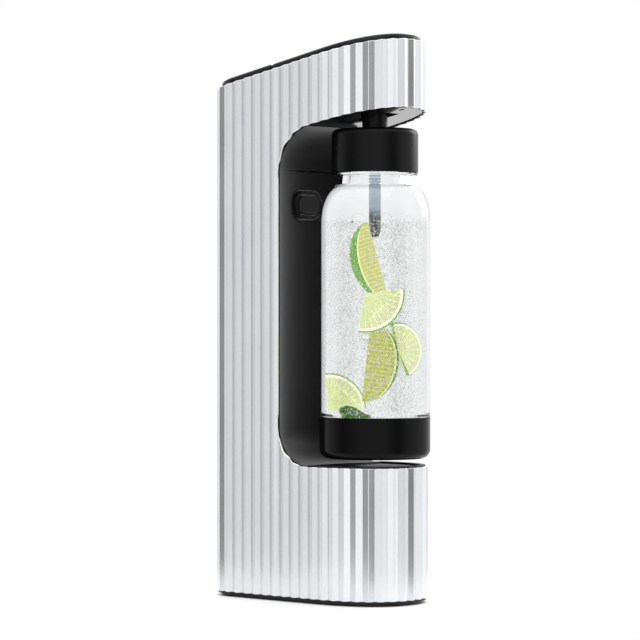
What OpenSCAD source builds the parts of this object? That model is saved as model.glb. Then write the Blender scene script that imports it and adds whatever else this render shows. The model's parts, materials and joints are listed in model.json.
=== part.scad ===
// Slim manual soda carbonator: a pleated aluminium casing with an open bay at the front, a glass bottle
// hanging from a tilting carbonating head, and a gas cylinder upright in the column behind the bay.
// Inside the modules x is across, y is the distance behind the tip of the nose,
// and z is the height above the lower edge of the metal casing.

/* [Casing] */
// Width of the pleated casing
body_w = 92; // [90:1:112]
// Depth of the pleated casing from nose to back
body_d = 178; // [178:1:216]
// Height of the metal at the tip of the nose
front_h = 428.8; // [428:1:520]
// Slope of the top, in degrees
top_tilt = 10.6; // [8:0.2:12]
// Length of the rounded nose
nose_len = 63; // [54:1:76]
// Fullness of the nose, where 2 is an ellipse
nose_power = 2.33; // [2:0.01:2.6]
// Radius of the two upright rear corners
rear_r = 25; // [21:1:30]
// Distance from one pleat to the next
rib_pitch = 10; // [8:0.5:12]
// Depth of a pleat
rib_depth = 2; // [1:0.1:2.4]
// Thickness of the casing behind the pleats
wall = 1.6; // [1.2:0.1:1.8]
// Height of the metal's lower edge above the table
base_lift = 3.7; // [3.2:0.1:5]

/* [Bay] */
// Distance from the nose to the back of the bay, at its sides
bay_back = 100.4; // [96:0.2:101]
// Upright height of the head above the bay
head_t = 52.2; // [50:0.2:64]
// Radius of the bay's lower rear corner
bay_low_r = 30; // [20:1:36]
// Radius of the bay's upper rear corner
bay_top_r = 36; // [24:1:38]
// How far the middle of the bay wall lies behind its sides
bay_dish = 11; // [6:0.5:11]
// Thickness of the bay panels
panel_t = 1.8; // [1.4:0.1:2]
// Height of the seam between the two bay panels above the bay floor
seam_rise = 230; // [210:1:234]

/* [Bottle] */
// Diameter of the bottle
bottle_d = 85.7; // [72:0.1:92]
// Height of the bottle with its cup
bottle_len = 244.3; // [205:0.1:294]
// Distance from the nose to the bottle's centre line
bottle_y = 39.3; // [36:0.1:44]
// Outer diameter of the bottle's neck
mouth_d = 55.8; // [50:0.1:57]
// Thickness of the glass
glass_t = 2.2; // [1.6:0.1:3.2]
// Height of the cup round the foot of the bottle
cup_h = 32.1; // [24:0.1:40]
// Free height left under the bottle once it has dropped off its seal
bottle_gap = 3.6; // [3.6:0.1:10]

/* [Carbonating head] */
// Diameter of the collar that holds the bottle's neck
collar_d = 67; // [66.8:0.1:72]
// Height of the collar
collar_h = 34; // [32:0.5:42]
// Diameter of the neck between head and collar
stem_d = 19.5; // [17:0.1:21]
// Diameter of the dip nozzle
nozzle_d = 9.3; // [7.6:0.1:11]
// Length of the nozzle below the collar
nozzle_drop = 49.5; // [30:0.5:70]
// How far the bottle tilts forward to come out, in degrees
tilt_max = 20; // [12:1:20]
// How far the bottle drops off its seal while it tilts
seal_drop = 2.5; // [1:0.1:3]

/* [Gas] */
// Diameter of the gas cylinder
cyl_d = 60; // [56:0.5:60]
// Length of the gas cylinder with its valve
cyl_len = 363; // [340:1:363]
// Depth of the gas cylinder's valve below the sloping top
valve_depth = 35.9; // [35.9:0.1:40]
// Travel of the press plate, in degrees
press_angle = 1.4; // [0.8:0.1:1.5]
// Height of the press plate and the rear lid above the metal
lid_rise = 4.8; // [3:0.1:6]

/* [Release button] */
// Width of the button
button_w = 24.7; // [18:0.1:26]
// Height of the button
button_h = 14.8; // [12:0.1:16]
// Travel of the button
button_travel = 1.5; // [0.5:0.1:1.8]

/* [Hidden] */
$fn = 96;

metal = [0.80, 0.81, 0.82];
steel = [0.62, 0.64, 0.66];
brass = [0.80, 0.66, 0.36];
black = [0.09, 0.09, 0.10];
dark = [0.16, 0.16, 0.17];
rubber = [0.05, 0.05, 0.05];

// Clearances: between pieces that stand still, between pieces that move, and of a shaft in its bore
gap = 0.4;
free_gap = 0.6;
shaft_gap = 0.06;

nose_steps = 14;
corner_steps = 8;
arc_steps = 12;
inner = rib_depth + wall;
slope = tan(top_tilt);

// The bottle hangs from the collar under the head, and the floor of the bay lies under the bottle
stem_show = 8;
seal_t = 3.4;
collar_top_t = 6;
pivot_up = 14.2;
pivot = [bottle_y, under_h(bottle_y) + pivot_up];
collar_top = under_h(bottle_y) - stem_show;
collar_low = collar_top - collar_h;
rim_top = collar_top - collar_top_t - seal_t - 0.1;
bottle_low = rim_top - bottle_len;
bay_floor = bottle_low - seal_drop - bottle_gap;
seam_h = bay_floor + seam_rise;

// The gas cylinder hangs from its valve block, close behind the dished bay wall and above its pad
cyl_y = bay_back + bay_dish + panel_t + 0.7 + cyl_d / 2;
pad_min = 3;
cyl_top = max(top_h(cyl_y) - valve_depth, pad_min + cyl_len);
cyl_low = cyl_top - cyl_len;
split_y = 110;
front_y = -min(0, bottle_y - bottle_d / 2);
mid_y = (body_d - front_y) / 2;

// Height of the sloping metal edge at the top, and of the metal edge under the head
function top_h(y) = front_h - y * slope;
function under_h(y) = front_h - head_t - y * slope;

// Half of the casing's plan, from the nose round the right side to the back, inset by d
function half_plan(d) = concat(
    [for (i = [0:nose_steps]) let (a = 90 * i / nose_steps)
        [(body_w / 2 - d) * pow(sin(a), 2 / nose_power),
         nose_len - (nose_len - d) * pow(cos(a), 2 / nose_power)]],
    [for (i = [0:corner_steps]) let (a = 90 * i / corner_steps)
        [body_w / 2 - rear_r + (rear_r - d) * cos(a), body_d - rear_r + (rear_r - d) * sin(a)]]);
function plan(d) = let (h = half_plan(d), n = len(h))
    concat(h, [for (i = [n - 1:-1:1]) [-h[i][0], h[i][1]]]);

// Even steps along the plan carry the pleats: a ridge, then a valley
function running(p) = let (n = len(p))
    [for (i = 0, s = 0; i <= n; s = s + norm(p[(i + 1) % n] - p[i % n]), i = i + 1) s];
outline = plan(0);
lengths = running(outline);
around = lengths[len(outline)];
along_x = [for (i = [0:len(outline)]) [lengths[i], outline[i % len(outline)][0]]];
along_y = [for (i = [0:len(outline)]) [lengths[i], outline[i % len(outline)][1]]];
function on_plan(s) = let (q = (s + around) % around) [lookup(q, along_x), lookup(q, along_y)];
function inward(s) = let (t = on_plan(s + 1) - on_plan(s - 1)) [-t[1], t[0]] / norm(t);
rib_count = round(around / rib_pitch);
pleats = [for (i = [0:2 * rib_count - 1]) let (s = around * i / (2 * rib_count))
    on_plan(s) + (i % 2) * rib_depth * inward(s)];

// The bay seen from the side, grown by g
function arc(c, r, a0, a1) = [for (i = [0:arc_steps]) let (a = a0 + (a1 - a0) * i / arc_steps)
    c + r * [cos(a), sin(a)]];
low_c = [bay_back - bay_low_r, bay_floor + bay_low_r];
top_c = [bay_back - bay_top_r, under_h(bay_back - bay_top_r) - bay_top_r / cos(top_tilt)];
function bay(g) = concat(
    [[-30, bay_floor - g]],
    arc(low_c, bay_low_r + g, -90, 0),
    arc(top_c, bay_top_r + g, 0, 90 - top_tilt),
    [[-30, under_h(-30) + g / cos(top_tilt)]]);

// Shared shapes
module placed() {
    translate([0, -mid_y, base_lift]) children();
}

module side_prism(points, width) {
    rotate([90, 0, 90]) linear_extrude(width, center = true) polygon(points);
}

module prism(d, lo, hi) {
    translate([0, 0, lo]) linear_extrude(hi - lo) polygon(plan(d));
}

// A slab parallel to the sloping top, between two distances from it
module sloped(lo, hi) {
    translate([0, 0, front_h]) rotate([-top_tilt, 0, 0])
        translate([-150, -80, lo]) cube([300, 460, hi - lo]);
}

module slice(y0, y1) {
    translate([-150, y0, -50]) cube([300, y1 - y0, front_h + 150]);
}

module bar(x0, x1, y0, y1, z0, z1) {
    translate([x0, y0, z0]) cube([x1 - x0, y1 - y0, z1 - z0]);
}

module upright(y, r, z0, z1) {
    translate([0, y, z0]) cylinder(r = r, h = z1 - z0);
}

module across(y, z, r, x0, x1) {
    translate([x0, y, z]) rotate([0, 90, 0]) cylinder(r = r, h = x1 - x0);
}

module both_sides() {
    children();
    mirror([1, 0, 0]) children();
}

module pill(w, h, r, y0, y1) {
    translate([0, y1, 0]) rotate([90, 0, 0]) linear_extrude(y1 - y0) union() {
        square([w - 2 * r, h], center = true);
        square([w, h - 2 * r], center = true);
        for (x = [-1, 1], z = [-1, 1]) translate([x * (w / 2 - r), z * (h / 2 - r)]) circle(r);
    }
}

// A closed solid between two grids of points, rows upward and columns to the right
module grid_solid(front, back) {
    r = len(front);
    c = len(front[0]);
    k = r * c;
    polyhedron(
        points = concat([for (row = front) each row], [for (row = back) each row]),
        faces = concat(
            [for (i = [0:r - 2], j = [0:c - 2]) let (p = i * c + j) each
                [[p, p + c, p + c + 1], [p, p + c + 1, p + 1],
                 [k + p, k + p + c + 1, k + p + c], [k + p, k + p + 1, k + p + c + 1]]],
            [for (i = [0:r - 2]) let (p = i * c, q = i * c + c - 1) each
                [[k + p, k + p + c, p + c], [k + p, p + c, p],
                 [q, q + c, k + q + c], [q, k + q + c, k + q]]],
            [for (j = [0:c - 2]) let (q = (r - 1) * c + j) each
                [[j + 1, k + j + 1, k + j], [j + 1, k + j, j],
                 [q, k + q, k + q + 1], [q, k + q + 1, q + 1]]]));
}

// A round bar swept along points, with a sideways direction at each
module swept(points, sideways, r, sides) {
    n = len(points);
    rings = [for (i = [0:n - 1])
        let (t = points[min(i + 1, n - 1)] - points[max(i - 1, 0)], f = t / norm(t),
             s0 = sideways[i] - f * (sideways[i] * f), s = s0 / norm(s0), b = cross(f, s))
        [for (j = [0:sides - 1]) let (a = 360 * j / sides) points[i] + r * (cos(a) * s + sin(a) * b)]];
    polyhedron(
        points = [for (ring = rings) each ring],
        faces = concat(
            [[for (j = [0:sides - 1]) j]],
            [[for (j = [sides - 1:-1:0]) (n - 1) * sides + j]],
            [for (i = [0:n - 2], j = [0:sides - 1]) let (p = i * sides, m = (j + 1) % sides) each
                [[p + j, p + sides + m, p + m], [p + j, p + sides + j, p + sides + m]]]));
}

// A coil spring standing on the origin
module coil(r, wire, length, turns) {
    steps = 12 * turns;
    swept(
        [for (i = [0:steps]) let (a = 30 * i)
            [(r - wire) * cos(a), (r - wire) * sin(a), wire + (length - 2 * wire) * i / steps]],
        [for (i = [0:steps]) let (a = 30 * i) [cos(a), sin(a), 0]],
        wire, 6);
}

// A bay panel: rows of [y, z, normal y, normal z, share of the dish]
panel_half = body_w / 2 - inner - 0.3;
panel_columns = 12;
module bay_skin(rows) {
    x = [for (j = [0:panel_columns]) panel_half * (2 * j / panel_columns - 1)];
    grids = [for (depth = [0, panel_t])
        [for (p = rows)
            [for (j = [0:panel_columns])
                let (d = depth + bay_dish * p[4] * (1 - pow(x[j] / panel_half, 2)))
                [x[j], p[0] + p[2] * d, p[1] + p[3] * d]]]];
    grid_solid(grids[0], grids[1]);
}
function corner_rows(c, r, a0, a1) = [for (i = [0:arc_steps]) let (a = a0 + (a1 - a0) * i / arc_steps)
    [c[0] + r * cos(a), c[1] + r * sin(a), cos(a), sin(a), pow(cos(a), 2)]];

// ---- Casing and base ----

module outer_shell() {
    color(metal) placed() difference() {
        linear_extrude(front_h + 1) difference() {
            polygon(pleats);
            polygon(plan(inner));
        }
        sloped(0, 90);
        side_prism(bay(0), body_w + 20);
    }
}

// The twist-off hatch in the base plate, below the gas cylinder
hatch_r = cyl_d / 2 + 0.4;
hatch_lug_r = hatch_r + 2.2;
hatch_turn = 45;
foot_t = 0.8;
foot_r = 4.5;
foot_far = hatch_r + foot_r + 2.4;
feet = [[26, 28], [foot_far * cos(34), cyl_y + foot_far * sin(34)]];
screw_r = 1.5;
base_screw_at = [[31, 48], [34, 94]];
plate_low = foot_t - base_lift;

module lug(r, half_angle, z0, z1) {
    translate([0, cyl_y, z0]) linear_extrude(z1 - z0)
        polygon(concat([[0, 0]], [for (a = [-half_angle:half_angle / 4:half_angle]) r * [cos(a), sin(a)]]));
}

module base_plate() {
    color(black) placed() difference() {
        union() {
            prism(1.2, -1.4, 0);
            prism(4, plate_low, -1.4);
            difference() {
                prism(inner + 0.25, 0, 6);
                prism(inner + 2, -1, 7);
            }
        }
        upright(cyl_y, hatch_r + 0.3, -10, 10);
        for (a = [hatch_turn, hatch_turn + 180])
            translate([0, cyl_y, 0]) rotate(a) translate([0, -cyl_y, 0]) lug(hatch_lug_r + 0.3, 14, -10, 0.1);
        both_sides() for (p = feet) translate([p[0], 0, 0]) upright(p[1], foot_r + 0.15, -10, plate_low + 0.9);
        both_sides() for (p = base_screw_at) translate([p[0], 0, 0]) {
            upright(p[1], screw_r + 0.1, -10, 10);
            upright(p[1], 2 * screw_r + 0.2, -10, -1.4);
        }
    }
}

module rubber_feet() {
    color(rubber) placed() both_sides() for (p = feet) translate([p[0], 0, 0])
        upright(p[1], foot_r, -base_lift, plate_low + 0.85);
}

module screw(z0, z1, head_z) {
    translate([0, 0, z0]) cylinder(r = screw_r, h = z1 - z0);
    translate([0, 0, head_z]) cylinder(r = 2 * screw_r, h = 1.2);
}

module base_screws() {
    color(steel) placed() both_sides() for (p = base_screw_at) translate([p[0], p[1], 0])
        screw(-1.5, 11, -2.65);
}

module cylinder_hatch() {
    color(black) placed() difference() {
        union() {
            upright(cyl_y, hatch_r, plate_low, -0.2);
            upright(cyl_y, hatch_r - 2, -0.3, 2.2);
            for (a = [0, 180])
                translate([0, cyl_y, 0]) rotate(a) translate([0, -cyl_y, 0]) intersection() {
                    lug(hatch_lug_r, 12, 0.3, 2.2);
                    upright(cyl_y, hatch_lug_r, 0, 3);
                }
        }
        upright(cyl_y, hatch_r - 4, -0.2, 5);
        both_sides() intersection() {
            upright(cyl_y, hatch_r - 8, plate_low - 1, plate_low + 1.4);
            bar(4, 60, cyl_y - 60, cyl_y + 60, -10, 10);
        }
    }
}

module cylinder_pad() {
    color(rubber) placed() difference() {
        upright(cyl_y, hatch_r - 5, -0.2, cyl_low - 0.15);
        upright(cyl_y, 9, -1, 5);
    }
}

module base_frame() {
    color(dark) placed() difference() {
        union() {
            intersection() {
                slice(0, bay_back + 4);
                difference() {
                    prism(inner + gap, 6.3, bay_floor - 3.6);
                    prism(inner + gap + 2, 0, bay_floor);
                    slice(bay_back - 20, bay_back + 30);
                }
            }
            intersection() {
                prism(inner + gap, 6.3, bay_floor - 3.6);
                union() {
                    slice(38, 40);
                    slice(bay_back - 22, bay_back - 20);
                }
            }
            intersection() {
                prism(inner + gap, 6.3, 8.3);
                slice(0, bay_back + 6);
            }
            both_sides() for (p = base_screw_at) translate([p[0], 0, 0]) upright(p[1], 4, 0.2, 14);
        }
        both_sides() for (p = base_screw_at) translate([p[0], 0, 0]) upright(p[1], screw_r + 0.05, -1, 12);
    }
}

module base_deck() {
    color(dark) placed() intersection() {
        prism(inner + gap, bay_floor - 3.5, bay_floor - 2.3);
        slice(0, bay_back - bay_low_r - 0.5);
    }
}

tray_t = 1.2;
tray_end = bay_back - bay_low_r - 0.4;
module drip_tray() {
    color(black) placed() intersection() {
        slice(-10, tray_end);
        difference() {
            union() {
                prism(1.6, bay_floor + 0.05, bay_floor + tray_t);
                prism(inner + free_gap, bay_floor - 2.2, bay_floor + 0.5);
            }
            intersection() {
                prism(inner + 2, bay_floor - 1, bay_floor + 5);
                slice(0, tray_end - 2);
            }
        }
    }
}

// ---- Bay panels and head cover ----

column_top = top_c[1];
lower_rows = concat(
    corner_rows(low_c, bay_low_r, -90, 0),
    [for (k = [1:3]) [bay_back, low_c[1] + (seam_h - 0.4 - low_c[1]) * k / 3, 1, 0, 1]]);
upper_rows = concat(
    seam_h < column_top ? [[bay_back, seam_h, 1, 0, 1]] : [],
    [for (p = corner_rows(top_c, bay_top_r, 0, 90 - top_tilt)) if (p[1] > seam_h + 0.5) p]);

button_z = seam_h - 26.6;
bezel_w = button_w + 9.3;
bezel_h = button_h + 8.6;
panel_front = bay_back + bay_dish;
bezel_front = panel_front - 3.8;

module lower_panel() {
    color(black) placed() difference() {
        bay_skin(lower_rows);
        translate([0, 0, button_z]) pill(bezel_w + 0.4, bezel_h + 0.4, bezel_h / 2 - 0.6, bay_back - 5, bay_back + 30);
    }
}

module upper_panel() {
    color(black) placed() bay_skin(upper_rows);
}

plate_drop = head_t - 0.8;
neck_swing = (pivot_up + 2) * tan(tilt_max);
module head_underplate() {
    color(black) placed() difference() {
        intersection() {
            prism(inner + 0.3, 0, front_h);
            slice(0, top_c[0] + bay_top_r * sin(top_tilt) - 0.5);
            sloped(-plate_drop * cos(top_tilt), (2 - plate_drop) * cos(top_tilt));
        }
        bar(-stem_d / 2 - free_gap, stem_d / 2 + free_gap, bottle_y - stem_d / 2 - neck_swing - free_gap,
            bottle_y + stem_d / 2 + free_gap, pivot[1] - 40, pivot[1] + 20);
        translate([0, 12.5, under_h(12.5) - 10]) cylinder(r = 2.4, h = 30);
    }
}

// ---- Top: rear lid and press plate ----

lid_skin = 2.4;
module lid_shell(d, y0, y1, low) {
    intersection() {
        slice(y0, y1);
        difference() {
            intersection() {
                prism(d, 0, front_h + 30);
                sloped(low, lid_rise);
            }
            intersection() {
                prism(d + lid_skin, 0, front_h + 30);
                sloped(low - 1, lid_rise - lid_skin);
                slice(y0 + lid_skin, y1 - lid_skin);
            }
        }
    }
}

split_gap = 1.6;
module rear_lid() {
    color(black) placed() union() {
        lid_shell(inner + gap, split_y + split_gap / 2, body_d, -1.5);
        both_sides() intersection() {
            sloped(-12, lid_rise - lid_skin + 0.1);
            bar(body_w / 2 - inner - gap - 2.4, body_w / 2 - inner - gap - 0.2, 124, 140, 0, front_h);
        }
    }
}

plate_gap = 1.5;
lever_half = 11;
lever_top = -3.5;
lever_t = 5;
module press_plate() {
    color(black) placed() union() {
        lid_shell(inner + plate_gap, 0, split_y - split_gap / 2, -2.6);
        for (y = [22, 58, 92]) intersection() {
            sloped(lever_top, lid_rise - lid_skin + 0.1);
            bar(-lever_half + 1, lever_half - 1, y, y + 8, 0, front_h + 20);
        }
    }
}

hinge = [body_d - 12, top_h(body_d - 12) - 8];
hub_r = 5;
pin_r = 2.5;
cheek_in = 18;
cheek_t = 2.5;
module press_lever() {
    color(steel) placed() difference() {
        union() {
            intersection() {
                sloped(lever_top - lever_t, lever_top);
                bar(-lever_half, lever_half, 16, hinge[0] - 1, 0, front_h);
            }
            across(hinge[0], hinge[1], hub_r, -lever_half - 3, lever_half + 3);
        }
        across(hinge[0], hinge[1], pin_r + shaft_gap, -40, 40);
    }
}

module lever_pin() {
    color(steel) placed() across(hinge[0], hinge[1], pin_r, -cheek_in - cheek_t - 1, cheek_in + cheek_t + 1);
}

// ---- Frames ----

frame_low = head_t - 4.7;
frame_t = 11;
rail_in = 26;
rail_t = 3;
wall_y = bay_back + 16;
wall_t = 3;
shelf_z = cyl_low + 347;
seat_y = 95;
outlet_z = cyl_top + 10;
hose_r = 3;

module frame_band(y0, y1) {
    intersection() {
        sloped(-frame_low * cos(top_tilt), -(frame_low - frame_t) * cos(top_tilt));
        bar(-rail_in - 1, rail_in + 1, y0, y1, 0, front_h);
    }
}

module head_frame() {
    color(dark) placed() difference() {
        union() {
            both_sides() intersection() {
                sloped(-frame_low * cos(top_tilt), -(frame_low - frame_t) * cos(top_tilt));
                bar(rail_in, rail_in + rail_t, 20, wall_y + 1, 0, front_h);
            }
            frame_band(20, 23);
            bar(-rail_in - rail_t, rail_in + rail_t, wall_y, wall_y + wall_t, shelf_z + 2, top_h(wall_y) - 15);
            intersection() {
                prism(inner + gap, shelf_z, shelf_z + 3);
                slice(wall_y, wall_y + 14);
                difference() {
                    bar(-60, 60, 0, body_d, 0, front_h);
                    bar(-cheek_in - cheek_t - 0.5, cheek_in + cheek_t + 0.5, wall_y + wall_t, body_d, 0, front_h);
                }
            }
            intersection() {
                sloped(-34, -30);
                bar(-rail_in - 1, rail_in + 1, seat_y - 8, seat_y + 8, 0, front_h);
            }
            both_sides() intersection() {
                sloped(-38, -30);
                bar(rail_in, rail_in + rail_t, seat_y - 8, seat_y + 8, 0, front_h);
            }
            upright(seat_y, 7, spring_low - 6, spring_low - 0.1);
        }
        translate([0, wall_y - 5, hose_at(hose_wall)[2]]) rotate([-90, 0, 0]) cylinder(r = hose_r + 1.6, h = 20);
        both_sides() translate([rail_x, 0, 0]) upright(wall_y + 8, screw_r + 0.1, shelf_z - 5, shelf_z + 10);
    }
}

rail_x = body_w / 2 - inner - 5;
module side_rail() {
    difference() {
        bar(rail_x - 3.9, rail_x + 4.4, wall_y - 6, wall_y + 30, 8.5, shelf_z);
        bar(rail_x - 5, rail_x + 2.4, wall_y - 4, wall_y + 28, 20, shelf_z - 10);
        translate([rail_x, 0, 0]) upright(wall_y + 8, screw_r + 0.05, shelf_z - 9, shelf_z + 1);
    }
}

module left_rail() {
    color(dark) placed() mirror([1, 0, 0]) side_rail();
}

module right_rail() {
    color(dark) placed() side_rail();
}

module frame_screws() {
    color(steel) placed() both_sides() translate([rail_x, wall_y + 8, 0]) screw(shelf_z - 8, shelf_z + 3.1, shelf_z + 3);
}

block_y = 14;
block_low = cyl_top - 19.5;
block_top = cyl_top + 22;
relief_z = cyl_top + 12;
relief_r = 6;
block_screw_z = cyl_top - 8;
module cheek_hole(y, z, r) {
    across(y, z, r, -60, 60);
}

module lever_frame() {
    color(steel) placed() difference() {
        union() {
            both_sides() bar(cheek_in, cheek_in + cheek_t, wall_y + wall_t, body_d - inner - 0.8, block_low + 4, hinge[1] + 4.2);
            bar(-cheek_in - 1, cheek_in + 1, body_d - inner - 2.6, body_d - inner - 0.8, block_low + 4, block_top - 10);
        }
        cheek_hole(hinge[0], hinge[1], pin_r + shaft_gap);
        for (y = [cyl_y - 10, cyl_y + 10]) cheek_hole(y, block_screw_z, screw_r + 0.1);
        across(cyl_y, relief_z, relief_r + 0.3, -60, 0);
    }
}

// ---- Gas path ----

socket_r = 10.4 + shaft_gap;
seal_low = cyl_top + 0.1;
seal_top = seal_low + 2.4;
push_r = 1.5;
module valve_block() {
    color(metal) placed() difference() {
        union() {
            bar(-cheek_in, cheek_in, cyl_y - block_y, cyl_y + block_y, block_low, block_top);
            translate([0, cyl_y - block_y + 1, outlet_z]) rotate([90, 0, 0]) cylinder(r = 4, h = 4);
            translate([0, cyl_y - block_y + 1, outlet_z]) rotate([90, 0, 0]) cylinder(r = 1.7, h = 14);
        }
        upright(cyl_y, socket_r, block_low - 1, seal_top + 0.1);
        upright(cyl_y, push_r + 0.1, seal_top - 1, block_top + 1);
        translate([0, cyl_y, outlet_z]) rotate([90, 0, 0]) cylinder(r = 0.9, h = 40);
        across(cyl_y, relief_z, 0.9, -40, 0);
        both_sides() for (y = [cyl_y - 10, cyl_y + 10]) across(y, block_screw_z, screw_r + 0.05, cheek_in - 6.5, 60);
    }
}

module block_screws() {
    color(steel) placed() both_sides() for (y = [cyl_y - 10, cyl_y + 10]) {
        across(y, block_screw_z, screw_r, cheek_in - 5.5, cheek_in + cheek_t + 1);
        across(y, block_screw_z, 2 * screw_r, cheek_in + cheek_t, cheek_in + cheek_t + 1.6);
    }
}

module socket_seal() {
    color(rubber) placed() difference() {
        upright(cyl_y, socket_r - 0.1, seal_low, seal_top);
        upright(cyl_y, 3, seal_low - 1, seal_top + 1);
    }
}

relief_in = 4;
poppet_len = 7;
relief_travel = 1.5;
relief_len = poppet_len + relief_travel + 8.5;
relief_bore = [-cheek_in - relief_len + 2, -cheek_in - 2];
module relief_body() {
    color(brass) placed() difference() {
        across(cyl_y, relief_z, relief_r, -cheek_in - relief_len, -cheek_in);
        across(cyl_y, relief_z, relief_in + shaft_gap, relief_bore[0], relief_bore[1]);
        across(cyl_y, relief_z, 1, -cheek_in - relief_len - 1, 0);
    }
}

module relief_poppet() {
    color(steel) placed() across(cyl_y, relief_z, relief_in, relief_bore[1] - 0.1 - poppet_len, relief_bore[1] - 0.1);
}

module relief_spring() {
    color(steel) placed() translate([relief_bore[0] + 0.1, cyl_y, relief_z]) rotate([0, 90, 0])
        coil(3.4, 0.4, relief_bore[1] - 0.2 - poppet_len - relief_bore[0] - 0.1, 4);
}

// The gas hose runs from the block's outlet to the union on the swivel bracket
union_y = pivot[0] + 16.7;
hose_from = [cyl_y - block_y - 3.2, outlet_z];
hose_to = [union_y + 0.3, pivot[1]];
hose_sag = 9;
hose_steps = 26;
hose_wall = (hose_from[0] - wall_y - wall_t / 2) / (hose_from[0] - hose_to[0]);
function hose_at(t) = [0, hose_from[0] + (hose_to[0] - hose_from[0]) * t,
    hose_from[1] + (hose_to[1] - hose_from[1]) * t * t * (3 - 2 * t) - hose_sag * pow(sin(180 * t), 2)];
module gas_hose() {
    color(rubber) placed() difference() {
        swept([for (i = [0:hose_steps]) hose_at(i / hose_steps)],
            [for (i = [0:hose_steps]) [1, 0, 0]], hose_r, 10);
        translate([0, hose_from[0] + 1, outlet_z]) rotate([90, 0, 0]) cylinder(r = 1.9, h = 12);
    }
}

module hose_clip(y, z) {
    translate([0, y + 1.5, z]) rotate([90, 0, 0]) difference() {
        cylinder(r = hose_r + 0.9, h = 3);
        translate([0, 0, -1]) cylinder(r = hose_r + 0.2, h = 5);
    }
}

module hose_clips() {
    color(steel) placed() {
        hose_clip(hose_from[0] - 2, hose_at(0.03)[2]);
        hose_clip(hose_to[0] + 2, hose_at(0.97)[2]);
    }
}

lever_arm = hinge[0] - cyl_y;
push_head_r = 3;
lever_under = top_h(cyl_y + push_head_r) - (lever_t - lever_top) / cos(top_tilt);
module push_pin() {
    color(steel) placed() union() {
        upright(cyl_y, push_r, cyl_top - 3, lever_under - 1);
        upright(cyl_y, push_head_r, lever_under - 2.4, lever_under - 0.15);
    }
}

lever_fall = (hinge[0] - seat_y) * tan(press_angle);
spring_pressed = 15.5;
spring_high = top_h(seat_y + 5) - (lever_t - lever_top) / cos(top_tilt) - 0.2;
spring_low = spring_high - lever_fall - spring_pressed;
module lever_spring() {
    color(steel) placed() translate([0, seat_y, spring_low]) coil(4.8, 0.6, spring_high - spring_low, 5);
}

// ---- Gas cylinder ----

cyl_r = cyl_d / 2;
shoulder_low = cyl_top - 88;
shoulder_h = 47;
cyl_neck_r = 13;
hex_low = cyl_top - 36;
cyl_wall = 3.4;
cyl_foot_r = 6;
module co2_cylinder() {
    color(metal) placed() translate([0, cyl_y, 0]) rotate_extrude() polygon(concat(
        [[0, cyl_low + 3], [cyl_r - 12, cyl_low]],
        arc([cyl_r - cyl_foot_r, cyl_low + cyl_foot_r], cyl_foot_r, -90, 0),
        [for (i = [0:arc_steps]) let (a = 90 * i / arc_steps)
            [cyl_neck_r + (cyl_r - cyl_neck_r) * cos(a), shoulder_low + shoulder_h * sin(a)]],
        [[cyl_neck_r, hex_low], [0, hex_low], [0, hex_low - 8], [cyl_neck_r - 5, hex_low - 8]],
        [for (i = [arc_steps:-1:0]) let (a = 90 * i / arc_steps)
            [cyl_neck_r - 5 + (cyl_r - cyl_neck_r + 5 - cyl_wall) * cos(a),
             shoulder_low + (shoulder_h - cyl_wall) * sin(a)]],
        arc([cyl_r - cyl_foot_r, cyl_low + cyl_foot_r + 1], cyl_foot_r - cyl_wall, 0, -90),
        [[0, cyl_low + cyl_wall + 3]]));
}

module cylinder_valve() {
    color(brass) placed() difference() {
        union() {
            translate([0, cyl_y, hex_low + 0.05]) cylinder(r = 15.4, h = 14, $fn = 6);
            upright(cyl_y, 10.4, hex_low + 1, cyl_top);
        }
        upright(cyl_y, push_r + 0.1, cyl_top - 14, cyl_top + 1);
    }
}

// ---- Carbonating head ----

ear_in = 11.8;
ear_t = 3.4;
barrel_r = 9;
swivel_pin_r = 2.5;
module swivel_bracket() {
    ear_low = pivot[1] - 6.6;
    color(dark) placed() difference() {
        union() {
            both_sides() bar(ear_in, ear_in + ear_t, pivot[0] - 9, union_y, ear_low, pivot[1] + 8);
            both_sides() bar(ear_in + 1, rail_in, pivot[0] - 4, pivot[0] + 8, ear_low + 2, ear_low + 5);
            bar(-ear_in - 1, ear_in + 1, union_y - 5, union_y, pivot[1] - 5, pivot[1] + 6);
        }
        across(pivot[0], pivot[1], swivel_pin_r + shaft_gap, -60, 60);
    }
}

module swivel_pin() {
    color(steel) placed() across(pivot[0], pivot[1], swivel_pin_r, -ear_in - ear_t - 1, ear_in + ear_t + 1);
}

nozzle_top = pivot[1] - 8;
module swivel_neck() {
    color(black) placed() difference() {
        union() {
            upright(bottle_y, stem_d / 2, collar_top, pivot[1]);
            across(pivot[0], pivot[1], barrel_r, -ear_in + 0.5, ear_in - 0.5);
        }
        across(pivot[0], pivot[1], swivel_pin_r + shaft_gap, -60, 60);
        upright(bottle_y, nozzle_d / 2 - 0.6, collar_top - 1, nozzle_top + 0.1);
    }
}

collar_r = collar_d / 2;
collar_round = 4.5;
mouth_r = mouth_d / 2;
module bottle_collar() {
    color(black) placed() translate([0, bottle_y, 0]) rotate_extrude() polygon(concat(
        [[nozzle_d / 2 + 0.05, collar_top - collar_top_t], [collar_r - 2.3, collar_top - collar_top_t],
         [collar_r - 2.3, collar_low], [collar_r, collar_low]],
        arc([collar_r - collar_round, collar_top - collar_round], collar_round, 0, 90),
        [[nozzle_d / 2 + 0.05, collar_top]]));
}

module dip_nozzle() {
    tip = collar_low - nozzle_drop;
    color(steel) placed() translate([0, bottle_y, 0]) rotate_extrude() polygon([
        [1.2, tip], [2.4, tip], [nozzle_d / 2, tip + 5], [nozzle_d / 2, collar_top - 0.05],
        [nozzle_d / 2 - 0.65, collar_top - 0.05], [nozzle_d / 2 - 0.65, nozzle_top], [1.2, nozzle_top]]);
}

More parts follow.
